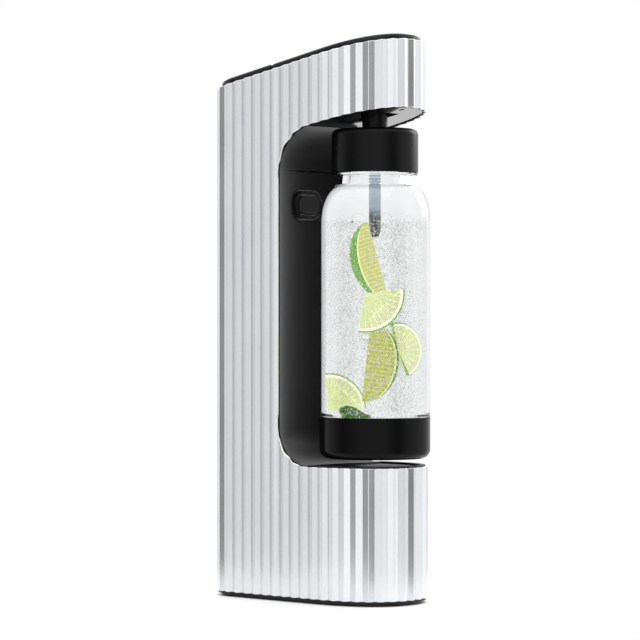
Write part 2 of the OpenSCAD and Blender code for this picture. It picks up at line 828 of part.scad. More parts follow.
module bottle_seal() {
    color(rubber) placed() difference() {
        upright(bottle_y, collar_r - 2.4, collar_top - collar_top_t - seal_t, collar_top - collar_top_t);
        upright(bottle_y, mouth_r - 8, collar_low, collar_top);
    }
}

// ---- Bottle ----

bottle_r = bottle_d / 2;
cup_t = 2;
cup_round = 7;
foot_glass_r = bottle_r - cup_t - 0.1;
cup_top = bottle_low + cup_h;
shoulder_top = collar_low - 11.5;
bottle_shoulder = 26;
ring_r = collar_r - 0.4;
module bottle_glass() {
    floor_z = bottle_low + cup_t + 0.1;
    shoulder = [for (i = [0:arc_steps]) let (a = 90 * i / arc_steps) [cos(a), sin(a)]];
    outer = concat(
        [[0, floor_z]],
        arc([foot_glass_r - cup_round + 2, floor_z + cup_round - 2], cup_round - 2, -90, 0),
        [[foot_glass_r, cup_top + 0.1], [bottle_r, cup_top + 0.1]],
        [for (p = shoulder) [mouth_r + (bottle_r - mouth_r) * p[0], shoulder_top - bottle_shoulder * (1 - p[1])]],
        [[mouth_r, collar_low - 2], [ring_r, collar_low - 1.8], [ring_r, collar_low - 0.4],
         [mouth_r, collar_low - 0.2], [mouth_r, rim_top - 4], [mouth_r + 1.6, rim_top - 3.4],
         [mouth_r + 1.6, rim_top]]);
    bore = [for (i = [arc_steps:-1:0]) let (p = shoulder[i])
        [mouth_r - glass_t + (bottle_r - mouth_r) * p[0],
         shoulder_top - glass_t - bottle_shoulder * (1 - p[1])]];
    color([0.85, 0.92, 0.95, 0.35]) placed() translate([0, bottle_y, 0]) rotate_extrude() polygon(concat(
        outer,
        [[mouth_r - glass_t, rim_top]],
        bore,
        [[bottle_r - glass_t, cup_top + 3], [foot_glass_r - glass_t, cup_top - 1]],
        arc([foot_glass_r - cup_round + 2, floor_z + cup_round + 1], cup_round - 2 - glass_t, 0, -90),
        [[0, floor_z + 5]]));
}

module bottle_cup() {
    color(black) placed() translate([0, bottle_y, 0]) rotate_extrude() polygon(concat(
        [[0, bottle_low]],
        arc([bottle_r - cup_round, bottle_low + cup_round], cup_round, -90, 0),
        [[bottle_r, cup_top], [bottle_r - cup_t, cup_top]],
        arc([bottle_r - cup_round, bottle_low + cup_round], cup_round - cup_t, 0, -90),
        [[0, bottle_low + cup_t]]));
}

// ---- Release button ----

can_back = cyl_y - cyl_r - gap;
module button_bezel() {
    color(black) placed() translate([0, 0, button_z]) difference() {
        union() {
            pill(bezel_w, bezel_h, bezel_h / 2 - 0.8, bezel_front, panel_front + 0.6);
            pill(button_w + 3.6, button_h + 2.4, button_h / 2, panel_front, can_back);
        }
        pill(button_w + 0.8, button_h + 0.8, button_h / 2 - 1, bezel_front - 1, can_back - 1);
    }
}

button_front = bezel_front - 0.8;
button_back = can_back - 1.2 - button_travel;
module release_button() {
    color(black) placed() translate([0, 0, button_z]) difference() {
        pill(button_w, button_h, button_h / 2 - 1.4, button_front, button_back);
        translate([0, button_back + 1, 0]) rotate([90, 0, 0]) cylinder(r = 4.6, h = 3.4);
    }
}

module button_spring() {
    back = can_back - 1.1;
    front = button_back - 2.3;
    color(steel) placed() translate([0, back, button_z]) rotate([90, 0, 0]) coil(4, 0.35, back - front, 3);
}

outer_shell();
base_plate();
rubber_feet();
base_screws();
cylinder_hatch();
cylinder_pad();
base_frame();
base_deck();
drip_tray();
lower_panel();
upper_panel();
head_underplate();
rear_lid();
left_rail();
right_rail();
head_frame();
frame_screws();
lever_frame();
valve_block();
block_screws();
socket_seal();
relief_body();
relief_poppet();
relief_spring();
gas_hose();
hose_clips();
press_plate();
press_lever();
lever_pin();
lever_spring();
push_pin();
co2_cylinder();
cylinder_valve();
swivel_bracket();
swivel_pin();
swivel_neck();
bottle_collar();
dip_nozzle();
bottle_seal();
bottle_glass();
bottle_cup();
button_bezel();
release_button();
button_spring();
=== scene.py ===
"""A slim manual soda carbonator: its visible pieces and finishes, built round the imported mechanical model.

The script follows the machine as it is put together: casing, bay panels, base, top covers, release button,
carbonating head, bottle, inner pieces, and last the drink, the floor and the studio. All lengths are in metres.
"""

import bisect
import json
import math
import random

import bmesh
import bpy
from mathutils import Matrix, Vector


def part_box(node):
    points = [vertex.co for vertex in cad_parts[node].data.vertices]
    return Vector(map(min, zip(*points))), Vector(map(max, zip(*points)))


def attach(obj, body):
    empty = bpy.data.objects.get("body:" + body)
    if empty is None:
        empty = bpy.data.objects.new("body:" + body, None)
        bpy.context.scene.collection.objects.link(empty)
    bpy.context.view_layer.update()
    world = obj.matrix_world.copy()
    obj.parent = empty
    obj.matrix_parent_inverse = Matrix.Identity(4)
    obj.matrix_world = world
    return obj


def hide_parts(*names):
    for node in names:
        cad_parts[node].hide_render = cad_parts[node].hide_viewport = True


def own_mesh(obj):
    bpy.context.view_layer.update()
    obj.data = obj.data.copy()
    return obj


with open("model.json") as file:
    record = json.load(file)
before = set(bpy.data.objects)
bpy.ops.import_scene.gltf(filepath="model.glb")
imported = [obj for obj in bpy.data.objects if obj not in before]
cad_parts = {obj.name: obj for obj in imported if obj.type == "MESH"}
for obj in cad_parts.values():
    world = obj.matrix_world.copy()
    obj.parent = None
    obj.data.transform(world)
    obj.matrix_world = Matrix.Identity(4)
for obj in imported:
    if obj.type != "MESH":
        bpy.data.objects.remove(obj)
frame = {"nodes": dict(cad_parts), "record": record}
scene = bpy.context.scene
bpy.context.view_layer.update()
MM = 0.001


# ---- Pleated casing ----
# One closed tube of aluminium with 48 pleats, sawn at a slope on top and open at the bay. It is blasted and
# clear anodised; the sawn edges are broken by a small polished chamfer. The inner band of the bay's sawn edge is
# painted near black, as painted shade for the gap between metal and panel.

PLEATS = 48
PLEAT_DEPTH = 2 * MM
PLEAT_ROUND = 0.3 * MM
SHEET = 1.3 * MM
WALL = 3.6 * MM
CHAMFER = 0.5 * MM
CHAMFER_LIP = 0.3 * CHAMFER
COLUMN_GAP = 0.15 * MM
EDGE_GAP = 0.6 * MM
NOSE_LEN = 63 * MM
NOSE_POWER = 2.33
REAR_R = 25 * MM
TILT = math.radians(10.6)
HEAD_T = 52.2 * MM
BAY_BACK = 100.4 * MM
BAY_LOW_R = 30 * MM
BAY_TOP_R = 36 * MM
BAY_UNDER_BOTTLE = 6.1 * MM
SHARP = math.radians(38)
SHARP_ON_CURVES = math.radians(60)
WELD = 1e-7

shell_low, shell_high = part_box("outer_shell")
HALF_W = shell_high.x
DEPTH = shell_high.y - shell_low.y
NOSE_Y = shell_low.y
BASE_Z = shell_low.z
BAY_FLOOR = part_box("bottle_cup")[0].z - BAY_UNDER_BOTTLE


def top_z(u):
    """Height of the sloping metal edge, at distance u behind the nose."""
    return shell_high.z - u * math.tan(TILT)


LOW_C = (BAY_BACK - BAY_LOW_R, BAY_FLOOR + BAY_LOW_R)
TOP_C = (BAY_BACK - BAY_TOP_R, top_z(BAY_BACK - BAY_TOP_R) - HEAD_T - BAY_TOP_R / math.cos(TILT))


def bay_low_z(u, grow=0.0):
    """Lower edge of the bay, with the bay grown by a margin."""
    if u <= LOW_C[0]:
        return BAY_FLOOR - grow
    return LOW_C[1] - math.sqrt(max(0.0, (BAY_LOW_R + grow) ** 2 - (u - LOW_C[0]) ** 2))


def bay_high_z(u, grow=0.0):
    """Upper edge of the bay, with the bay grown by a margin."""
    radius = BAY_TOP_R + grow
    if u <= TOP_C[0] + radius * math.sin(TILT):
        return top_z(u) - HEAD_T + grow / math.cos(TILT)
    return TOP_C[1] + math.sqrt(max(0.0, radius ** 2 - (u - TOP_C[0]) ** 2))


def half_plan(inset, steps):
    """Points (x, u) of the casing's plan from the nose round one side to the back, inset by a distance."""
    turns = [math.pi / 2 * i / steps for i in range(steps + 1)]
    nose = [((HALF_W - inset) * math.sin(a) ** (2 / NOSE_POWER),
             NOSE_LEN - (NOSE_LEN - inset) * abs(math.cos(a)) ** (2 / NOSE_POWER)) for a in turns]
    nose[-1] = (HALF_W - inset, NOSE_LEN)
    corner_r = REAR_R - inset
    corner = [(HALF_W - REAR_R + corner_r * math.cos(a), DEPTH - REAR_R + corner_r * math.sin(a)) for a in turns]
    return nose + corner


PLAN_STEPS = 72
side = half_plan(0, PLAN_STEPS)
plan = side + [(-x, u) for x, u in reversed(side[1:])]
reach = [0.0]
for here, after in zip(plan, plan[1:] + plan[:1]):
    reach.append(reach[-1] + math.dist(here, after))
AROUND = reach[-1]
HALF_PITCH = AROUND / (2 * PLEATS)


def on_plan(s):
    """Point (x, u) at a distance s along the plan."""
    s %= AROUND
    i = min(bisect.bisect_right(reach, s) - 1, len(plan) - 1)
    share = (s - reach[i]) / (reach[i + 1] - reach[i])
    (x0, u0), (x1, u1) = plan[i], plan[(i + 1) % len(plan)]
    return x0 + (x1 - x0) * share, u0 + (u1 - u0) * share


def inside_plan(s, depth):
    """Point (x, u) at a depth below the plan's outline."""
    (x0, u0), (x1, u1) = on_plan(s - MM), on_plan(s + MM)
    length = math.dist((x0, u0), (x1, u1))
    x, u = on_plan(s)
    return x - (u1 - u0) / length * depth, u + (x1 - x0) / length * depth


def pleat(s):
    """Depth of the pleated skin at s: flat facets with a small radius on every ridge and valley."""
    rise = PLEAT_DEPTH / HALF_PITCH
    off = abs((s / (2 * HALF_PITCH) + 0.5) % 1 - 0.5) * 2 * HALF_PITCH
    if off < PLEAT_ROUND:
        return rise * (off ** 2 / PLEAT_ROUND + PLEAT_ROUND) / 2
    short = HALF_PITCH - off
    if short < PLEAT_ROUND:
        return PLEAT_DEPTH - rise * (short ** 2 / PLEAT_ROUND + PLEAT_ROUND) / 2
    return rise * off


def to_object(name, bm, materials, sharp=math.pi):
    """Puts a built mesh into the scene with smooth shading, hard only at edges past the sharp angle."""
    for face in bm.faces:
        face.smooth = True
    for edge in bm.edges:
        edge.smooth = len(edge.link_faces) != 2 or edge.calc_face_angle(0) < sharp
    mesh = bpy.data.meshes.new(name)
    bm.to_mesh(mesh)
    bm.free()
    for material in materials:
        mesh.materials.append(material)
    made = bpy.data.objects.new(name, mesh)
    scene.collection.objects.link(made)
    return made


def solid(name, points, faces, materials, edges=None, slots=None, sharp=SHARP):
    """A closed mesh piece with even shading. edges marks worn corners, slots gives each face its material."""
    bm = bmesh.new()
    worn = bm.verts.layers.float.new("edge")
    verts = [bm.verts.new(p) for p in points]
    for i, value in enumerate(edges or []):
        verts[i][worn] = value
    for i, face in enumerate(faces):
        made = bm.faces.new([verts[j] for j in face])
        made.material_index = slots[i] if slots else 0
    bmesh.ops.remove_doubles(bm, verts=bm.verts, dist=WELD)
    bmesh.ops.dissolve_degenerate(bm, dist=1e-8, edges=bm.edges)
    bmesh.ops.recalc_face_normals(bm, faces=bm.faces)
    made = to_object(name, bm, materials, sharp)
    made.modifiers.new("even_shading", "WEIGHTED_NORMAL").keep_sharp = True
    return made


def fit(piece, body, slot, *nodes):
    """Ties a finished piece to its body and hides the mechanical nodes that it stands for. The slot is not used."""
    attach(piece, body)
    if nodes:
        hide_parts(*nodes)
    return piece


def add(tree, kind):
    """A new shader node of a kind."""
    return tree.nodes.new("ShaderNode" + kind)


def calc(tree, kind, *values, clamp=False):
    """A maths node fed by sockets or numbers; returns its output."""
    node = add(tree, "Math")
    node.operation = kind
    node.use_clamp = clamp
    for i, value in enumerate(values):
        if isinstance(value, (int, float)):
            node.inputs[i].default_value = value
        else:
            tree.links.new(value, node.inputs[i])
    return node.outputs[0]


def blend_colours(tree, share, first, second):
    """A mix of two colours, each a socket or (r, g, b), by a share from a socket; returns its output."""
    node = add(tree, "Mix")
    node.data_type = "RGBA"
    for place, value in ((0, share), (6, first), (7, second)):
        if hasattr(value, "links"):
            tree.links.new(value, node.inputs[place])
        else:
            node.inputs[place].default_value = (*value, 1)
    return node.outputs[2]


def noise(tree, scale, detail):
    """Noise in the object's own coordinates; returns its value."""
    node = add(tree, "TexNoise")
    node.inputs["Detail"].default_value = detail
    tree.links.new(add(tree, "TexCoord").outputs["Object"], node.inputs["Vector"])
    if isinstance(scale, (int, float)):
        node.inputs["Scale"].default_value = scale
    else:
        tree.links.new(scale, node.inputs["Scale"])
    return node.outputs["Fac"]


def attribute(tree, name):
    """A value stored on the mesh's points."""
    node = add(tree, "Attribute")
    node.attribute_name = name
    return node.outputs["Fac"]


def worn_surface_group():
    """Fine grain, handling marks and worn edges, shared by the metals, plastics and rubbers."""
    tree = bpy.data.node_groups.new("worn_surface", "ShaderNodeTree")
    for way, names in (("INPUT", ("Colour", "Edge Colour", "Edge Wear", "Mottle", "Roughness", "Smudge",
                                  "Grain Scale")), ("OUTPUT", ("Colour", "Roughness", "Height"))):
        for name in names:
            kind = "NodeSocketColor" if "Colour" in name else "NodeSocketFloat"
            tree.interface.new_socket(name=name, in_out=way, socket_type=kind)
    given = tree.nodes.new("NodeGroupInput").outputs
    result = tree.nodes.new("NodeGroupOutput").inputs
    grain = noise(tree, given["Grain Scale"], 3)
    marks = noise(tree, 26.0, 4)

    def swing(value, size):
        """A noise about zero, scaled."""
        return calc(tree, "MULTIPLY", calc(tree, "SUBTRACT", value, 0.5), size)

    patchy = calc(tree, "MULTIPLY_ADD", noise(tree, 320.0, 2), 1.4, 0.15, clamp=True)
    wear = calc(tree, "MULTIPLY", calc(tree, "MULTIPLY", attribute(tree, "edge"), patchy), given["Edge Wear"],
                clamp=True)
    shade = calc(tree, "ADD", calc(tree, "ADD", swing(grain, given["Mottle"]), swing(marks, given["Mottle"])), 1.0)
    scaled = add(tree, "VectorMath")
    scaled.operation = "SCALE"
    tree.links.new(given["Colour"], scaled.inputs[0])
    tree.links.new(shade, scaled.inputs["Scale"])
    tree.links.new(blend_colours(tree, wear, scaled.outputs[0], given["Edge Colour"]), result["Colour"])
    handled = calc(tree, "ADD", given["Roughness"], swing(marks, given["Smudge"]))
    rough = calc(tree, "SUBTRACT", handled, calc(tree, "MULTIPLY", wear, 0.12))
    tree.links.new(calc(tree, "MAXIMUM", rough, 0.03), result["Roughness"])
    tree.links.new(grain, result["Height"])
    return tree


worn_surface = worn_surface_group()


def plain_material(name, **values):
    """A material with its tree and its shader, whose own constants are given by name."""
    material = bpy.data.materials.new(name)
    material.use_nodes = True
    shader = material.node_tree.nodes["Principled BSDF"]
    for place, value in values.items():
        shader.inputs[place.replace("_", " ")].default_value = value
    return material, material.node_tree, shader


def finish(name, colour, roughness, grain, bump=0.1, bump_depth=0.05 * MM, mottle=0.08, smudge=0.12,
           edge_colour=None, edge_wear=0.5, **shader_values):
    """A material of the worn surface group, with any of the shader's own constants."""
    material, tree, shader = plain_material(name, **shader_values)
    surface = add(tree, "Group")
    surface.node_tree = worn_surface
    lighter = [min(1.0, c * 1.6 + 0.03) for c in colour]
    for place, value in (("Colour", (*colour, 1)), ("Edge Colour", (*(edge_colour or lighter), 1)),
                         ("Edge Wear", edge_wear), ("Mottle", mottle), ("Roughness", roughness),
                         ("Smudge", smudge), ("Grain Scale", grain)):
        surface.inputs[place].default_value = value
    height = add(tree, "Bump")
    height.inputs["Strength"].default_value = bump
    height.inputs["Distance"].default_value = bump_depth
    tree.links.new(surface.outputs["Height"], height.inputs["Height"])
    tree.links.new(height.outputs["Normal"], shader.inputs["Normal"])
    tree.links.new(surface.outputs["Colour"], shader.inputs["Base Color"])
    tree.links.new(surface.outputs["Roughness"], shader.inputs["Roughness"])
    return material


blasted_aluminium = finish("blasted_aluminium", (0.785, 0.80, 0.825), 0.24, grain=1000, bump=0.7, mottle=0.14,
                           smudge=0.08, edge_colour=(0.95, 0.95, 0.96), edge_wear=0.9, Metallic=1.0)
# Near black painted shade: it colours the bay's sawn edge as the shadow of the gap round the panels.
painted_gap_shade = finish("painted_gap_shade", (0.002, 0.002, 0.002), 0.5, grain=900, Specular_IOR_Level=0.08)


def casing_columns():
    """Upright lines of the casing's mesh: (distance along the plan, side of the bay's rear edge or 0)."""
    to_flank = reach[PLAN_STEPS] - NOSE_LEN
    rear_edge = to_flank + BAY_BACK
    columns = [(i * HALF_PITCH + j * PLEAT_ROUND / 2) % AROUND for i in range(2 * PLEATS) for j in range(-2, 3)]
    behind = []
    for centre, radius in ((LOW_C[0], BAY_LOW_R), (TOP_C[0], BAY_TOP_R)):
        behind += [to_flank + centre + radius * math.cos(math.pi / 2 * i / 20) for i in range(1, 21)]
    for s in behind + [AROUND - s for s in behind]:
        if all(abs(s - other) > COLUMN_GAP for other in columns):
            columns.append(s)
    rear = [(rear_edge, 1), (AROUND - rear_edge, -1)]
    kept = [(s, 0) for s in columns if all(abs(s - edge) > EDGE_GAP for edge, _ in rear)]
    return sorted(kept + rear), rear_edge


def casing():
    """The casing as one closed mesh. Each column holds four edges, and each edge runs from skin to inner wall."""
    columns, rear_edge = casing_columns()
    growth = (CHAMFER, CHAMFER_LIP, 0.0, 0.0, 0.0)
    points, edges, chains = [], [], []
    for s, edge_side in columns:
        opened = s < rear_edge + 1e-9 or s > AROUND - rear_edge - 1e-9
        skin = pleat(s)
        depths = (skin, skin + CHAMFER_LIP, skin + CHAMFER, min(skin + SHEET, WALL - 0.1 * MM), WALL)
        chain = {}
        for level in ("foot", "low", "high", "rim"):
            chain[level] = []
            for j, depth in enumerate(depths):
                grow = growth[j]
                shifted = s + edge_side * grow if level in ("low", "high") else s
                x, u = inside_plan(shifted, depth)
                if level == "foot":
                    z = BASE_Z + grow
                elif level == "rim":
                    z = top_z(u) - grow / math.cos(TILT)
                elif not opened or edge_side:
                    z = LOW_C[1] if level == "low" else TOP_C[1]
                else:
                    z = bay_low_z(u, grow) if level == "low" else bay_high_z(u, grow)
                if not opened and level in ("low", "high") and 0 < j < 4:
                    chain[level].append(None)
                    continue
                on_ridge = abs((s / (2 * HALF_PITCH) + 0.5) % 1 - 0.5) < 1e-4
                chain[level].append(len(points))
                points.append((x, u + NOSE_Y, z))
                edges.append(1.0 if j in (1, 2) else 0.45 if j == 0 and on_ridge else 0.0)
        chains.append((chain, opened))
    faces, slots = [], []

    # With black, the inner band of a cut face takes the painted shade of the gap between metal and panel.
    def strip(first, second, black=False):
        for j in range(4):
            faces.append((first[j], first[j + 1], second[j + 1], second[j]))
            slots.append(1 if black and j == 3 else 0)

    for (here, here_open), (after, after_open), (_, edge_side) in zip(chains, chains[1:] + chains[:1], columns):
        strip(here["foot"], after["foot"])
        strip(here["rim"], after["rim"])
        gap = here_open and after_open
        if gap:
            strip(here["low"], after["low"], black=True)
            strip(here["high"], after["high"], black=True)
        bands = [("foot", "low"), ("high", "rim")] + ([] if gap else [("low", "high")])
        for low, high in bands:
            for j in (0, 4):
                faces.append((here[low][j], after[low][j], after[high][j], here[high][j]))
                slots.append(0)
        if edge_side:
            strip(here["low"], here["high"], black=True)
    return solid("pleated_casing", points, faces, [blasted_aluminium, painted_gap_shade], edges, slots, SHARP_ON_CURVES)


fit(casing(), "casing", "shell_aluminium", "outer_shell")


# ---- Bay panels ----
# Two thin moulded panels close the bay behind the bottle, dished in the middle, and meet at a seam. They are
# satin black ABS, clipped in from the front; the lower one is pierced for the release button.

PANEL_T = 1.8 * MM
PANEL_ROUND = 0.6 * MM
DISH = 11 * MM
PANEL_GAP = 0.3 * MM
SEAM_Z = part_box("lower_panel")[1].z
SEAM_GAP = 0.15 * MM
PANEL_HALF = HALF_W - WALL - PANEL_GAP
PANEL_COLUMNS = 36
PANEL_STEPS = 24
PILL_STEPS = 10

satin_black = finish("satin_black", (0.0035, 0.0036, 0.0042), 0.42, grain=1600, bump=0.12, mottle=0.3, smudge=0.10,
                     Specular_IOR_Level=0.06, Sheen_Weight=1.0, Sheen_Roughness=0.3)


def bay_rows(centre, radius, first, last):
    """Rows (u, z, normal u, normal z, share of the dish) round one corner of the bay."""
    turns = [first + (last - first) * i / PANEL_STEPS for i in range(PANEL_STEPS + 1)]
    return [(centre[0] + radius * math.cos(a), centre[1] + radius * math.sin(a), math.cos(a), math.sin(a),
             math.cos(a) ** 2) for a in turns]


def bay_panel(name, rows):
    """A panel of even thickness over a grid of rows and columns, with rounded borders."""
    points, faces = [], []
    across = [PANEL_HALF * (2 * j / PANEL_COLUMNS - 1) for j in range(PANEL_COLUMNS + 1)]
    for back in (0, PANEL_T):
        for u, z, normal_u, normal_z, share in rows:
            for x in across:
                depth = back + DISH * share * (1 - (x / PANEL_HALF) ** 2)
                points.append((x, NOSE_Y + u + normal_u * depth, z + normal_z * depth))
    wide = PANEL_COLUMNS + 1
    layer = wide * len(rows)
    for i in range(len(rows) - 1):
        for j in range(PANEL_COLUMNS):
            p = i * wide + j
            faces.append((p, p + 1, p + wide + 1, p + wide))
            faces.append((layer + p, layer + p + wide, layer + p + wide + 1, layer + p + 1))
        for p in (i * wide, i * wide + PANEL_COLUMNS):
            faces.append((p, p + wide, layer + p + wide, layer + p))
    for p in list(range(PANEL_COLUMNS)) + list(range(layer - wide, layer - 1)):
        faces.append((p, p + 1, layer + p + 1, layer + p))
    panel = solid(name, points, faces, [satin_black], sharp=SHARP_ON_CURVES)
    bevel = panel.modifiers.new("round_borders", "BEVEL")
    bevel.width = PANEL_ROUND
    bevel.segments = 3
    bevel.limit_method = "ANGLE"
    bevel.angle_limit = math.radians(50)
    bevel.harden_normals = False
    panel.modifiers.move(1, 0)
    return panel


def pill_ring(width, height, radius, u, inward=0.0):
    """A rounded rectangle about the button's centre, u behind the nose, moved inward from its full size."""
    ring = []
    round_r = radius - inward
    for turn, (side_x, side_z) in enumerate(((1, 1), (-1, 1), (-1, -1), (1, -1))):
        for i in range(PILL_STEPS + 1):
            a = math.pi / 2 * (turn + i / PILL_STEPS)
            ring.append((side_x * (width / 2 - radius) + round_r * math.cos(a), NOSE_Y + u,
                         BUTTON_Z + side_z * (height / 2 - radius) + round_r * math.sin(a)))
    return ring


def band(first, second, size):
    """Faces between two rings, by their places in the list of rings."""
    return [(first * size + j, first * size + (j + 1) % size, second * size + (j + 1) % size, second * size + j)
            for j in range(size)]


def loft(name, rings, materials, edges=None):
    """A closed piece through rings of equal size, with flat ends."""
    size = len(rings[0])
    points = [point for ring in rings for point in ring]
    faces = [face for i in range(len(rings) - 1) for face in band(i, i + 1, size)]
    faces.append(tuple(range(size)))
    faces.append(tuple(range(size * (len(rings) - 1), size * len(rings))))
    marks = [value for value in edges for _ in range(size)] if edges else None
    return solid(name, points, faces, materials, marks)


bezel_low, bezel_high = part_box("button_bezel")
BUTTON_Z = (bezel_low.z + bezel_high.z) / 2
BEZEL_W = bezel_high.x - bezel_low.x
BEZEL_H = bezel_high.z - bezel_low.z
BEZEL_FRONT = bezel_low.y - NOSE_Y
BEZEL_BACK = bezel_high.y - NOSE_Y
PANEL_FRONT = BAY_BACK + DISH
BEZEL_GAP = 0.15 * MM


def cut_out(piece, cutter):
    """Takes the cutter's shape out of a piece for good, and removes the cutter."""
    hole = piece.modifiers.new("cut_out", "BOOLEAN")
    hole.operation = "DIFFERENCE"
    hole.solver = "EXACT"
    hole.object = cutter
    shading = [m for m in piece.modifiers if m != hole]
    for modifier in shading:
        modifier.show_viewport = False
    whole = bpy.data.meshes.new_from_object(piece.evaluated_get(bpy.context.evaluated_depsgraph_get()))
    for modifier in shading:
        modifier.show_viewport = True
    piece.modifiers.remove(hole)
    piece.data = whole
    bpy.data.objects.remove(cutter)


lower_rows = bay_rows(LOW_C, BAY_LOW_R, -math.pi / 2, 0)
lower_rows += [(BAY_BACK, LOW_C[1] + (SEAM_Z - LOW_C[1]) * k / 20, 1, 0, 1) for k in range(1, 21)]
lower_panel = bay_panel("dished_lower_panel", lower_rows)
hole = (BEZEL_W + 2 * BEZEL_GAP, BEZEL_H + 2 * BEZEL_GAP, BEZEL_H / 2 - 0.7 * MM)
cut_out(lower_panel, loft("button_cutter", [pill_ring(*hole, u) for u in (BAY_BACK, BAY_BACK + 2 * DISH)],
                          [satin_black]))
fit(lower_panel, "casing", "panel_plastic", "lower_panel")

seam_turn = math.asin((SEAM_Z + SEAM_GAP - TOP_C[1]) / BAY_TOP_R)
upper_rows = bay_rows(TOP_C, BAY_TOP_R, seam_turn, math.pi / 2 - TILT)
fit(bay_panel("dished_upper_panel", upper_rows), "casing", "panel_plastic", "upper_panel")


# ---- Base, drip tray and head underside ----
# The foot plate, the hatch and the feet close the casing from below; the drip tray is a thin black moulding with
# a raised rim that lies on the deck, and a gloss black plate closes the head from below.

TRAY_INSET = 1.6 * MM
TRAY_RIM = 3.4 * MM
TRAY_FLOOR = 0.5 * MM
TRAY_FOOT = 2.6 * MM
TRAY_ROUND = 0.5 * MM
OUTLINE_STEPS = 40

matt_black = finish("matt_black", (0.005, 0.005, 0.0055), 0.42, grain=1400, bump=0.15, mottle=0.3,
                    Specular_IOR_Level=0.3)
gloss_black = finish("gloss_black", (0.005, 0.005, 0.0055), 0.10, grain=60, bump=0.03, mottle=0.05, smudge=0.06,
                     Coat_Weight=0.6, Coat_Roughness=0.05)


def plan_piece(inset, front, back):
    """Outline (x, u) of the plan inset by a distance, between two distances behind the nose."""
    flank = [(x, u) for x, u in half_plan(inset, OUTLINE_STEPS) if front + 0.01 * MM < u < back - 0.01 * MM]
    if front > 0:
        flank.insert(0, (HALF_W - inset, front))
    if back < DEPTH:
        flank.append((HALF_W - inset, back))
    elif abs(flank[-1][0]) > 0:
        flank.append((0, DEPTH - inset))
    mirrored = [(-x, u) for x, u in reversed(flank) if x > 1e-9]
    return flank + mirrored


def shrink(outline, distance):
    """The same outline moved inward; its corners stay sharp."""
    moved = []
    count = len(outline)
    for i, (x, u) in enumerate(outline):
        (x0, u0), (x1, u1) = outline[i - 1], outline[(i + 1) % count]
        before, after = Vector((x - x0, u - u0)).normalized(), Vector((x1 - x, u1 - u)).normalized()
        bisector = Vector((-(before.y + after.y), before.x + after.x)).normalized()
        reach_in = distance / max(0.3, bisector.dot(Vector((-after.y, after.x))))
        moved.append((x + bisector.x * reach_in, u + bisector.y * reach_in))
    return moved


def level_ring(outline, z):
    """A level ring at a height."""
    return [(x, NOSE_Y + u, z) for x, u in outline]


def sloped_ring(outline, height):
    """A ring parallel to the sloping top, at a height square to it."""
    return [(x, NOSE_Y + u, top_z(u) + height / math.cos(TILT)) for x, u in outline]


def rounding(radius, steps=5):
    """Pairs (inward, upward) round a corner, from the wall below it to the face above."""
    turns = [math.pi / 2 * i / steps for i in range(steps + 1)]
    return [(radius * (1 - math.cos(a)), radius * math.sin(a)) for a in turns]


def drip_tray():
    """The tray: rounded rim, shallow well and a plain underside."""
    low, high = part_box("drip_tray")
    outer = plan_piece(TRAY_INSET, 0, high.y - NOSE_Y)
    foot = shrink(outer, TRAY_FOOT)
    ledge = BAY_FLOOR + 0.05 * MM
    rings = [level_ring(foot, low.z), level_ring(foot, ledge), level_ring(outer, ledge)]
    turns = [(inward, high.z - TRAY_ROUND + up) for inward, up in rounding(TRAY_ROUND)]
    turns += [(TRAY_RIM, high.z), (TRAY_RIM + 0.4 * MM, high.z - 0.2 * MM),
              (TRAY_RIM + 0.7 * MM, BAY_FLOOR - TRAY_FLOOR)]
    rings += [level_ring(shrink(outer, inward), z) for inward, z in turns]
    worn = [0, 0, 0.3] + [0.5] * (len(rings) - 6) + [0.3, 0, 0]
    return loft("rimmed_drip_tray", rings, [matt_black], worn)


fit(drip_tray(), "tray", "base_plastic", "drip_tray")


# ---- Top covers ----
# The long front cover is the press plate: pushing it down lets gas into the bottle. The short rear lid stays put.
# Both are matt black mouldings with softly rounded edges, set just inside the metal.

COVER_ROUND = 2.2 * MM
COVER_SKIN = 2.4 * MM
LID_INSET = 4.0 * MM
PLATE_INSET = 5.1 * MM
COVER_RISE = 5.1 * MM
PLATE_SKIRT = -2.6 * MM
LID_SKIRT = -1.5 * MM

cover_black = finish("cover_black", (0.006, 0.006, 0.007), 0.36, grain=1500, bump=0.12, mottle=0.3,
                     Specular_IOR_Level=0.3)


def cover(name, inset, front, back, rise, skirt):
    """A hollow cover: rounded outside, open below, parallel to the sloping top."""
    outer = plan_piece(inset, front, back)
    rings = [sloped_ring(outer, skirt)]
    rings += [sloped_ring(shrink(outer, inward), rise - COVER_ROUND + up) for inward, up in rounding(COVER_ROUND, 7)]
    rings.append(sloped_ring(shrink(outer, COVER_ROUND + 2 * MM), rise))
    inside = shrink(outer, COVER_SKIN)
    hollow = [sloped_ring(inside, skirt), sloped_ring(inside, rise - COVER_SKIN)]
    return loft(name, [hollow[1], hollow[0]] + rings, [cover_black])


PLATE_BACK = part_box("press_plate")[1].y - NOSE_Y
LID_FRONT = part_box("rear_lid")[0].y - NOSE_Y
fit(cover("rounded_press_plate", PLATE_INSET, 0, PLATE_BACK, COVER_RISE, PLATE_SKIRT), "press", "press_plastic",
    "press_plate")
fit(cover("rounded_rear_lid", LID_INSET, LID_FRONT, DEPTH, COVER_RISE, LID_SKIRT), "casing", "press_plastic",
    "rear_lid")


# ---- Release button ----
# A rounded button of soft-touch plastic in a raised surround. Pushed in, it lets the pressure off and frees the
# swivel, so that the bottle can be tilted forward.

BUTTON_ROUND = 1.1 * MM
BUTTON_HOLLOW = 0.25 * MM
BEZEL_ROUND = 1.8 * MM
BUTTON_GAP = 0.45 * MM

soft_touch = finish("soft_touch", (0.004, 0.004, 0.0045), 0.5, grain=2400, bump=0.12, mottle=0.3,
                    Specular_IOR_Level=0.14)


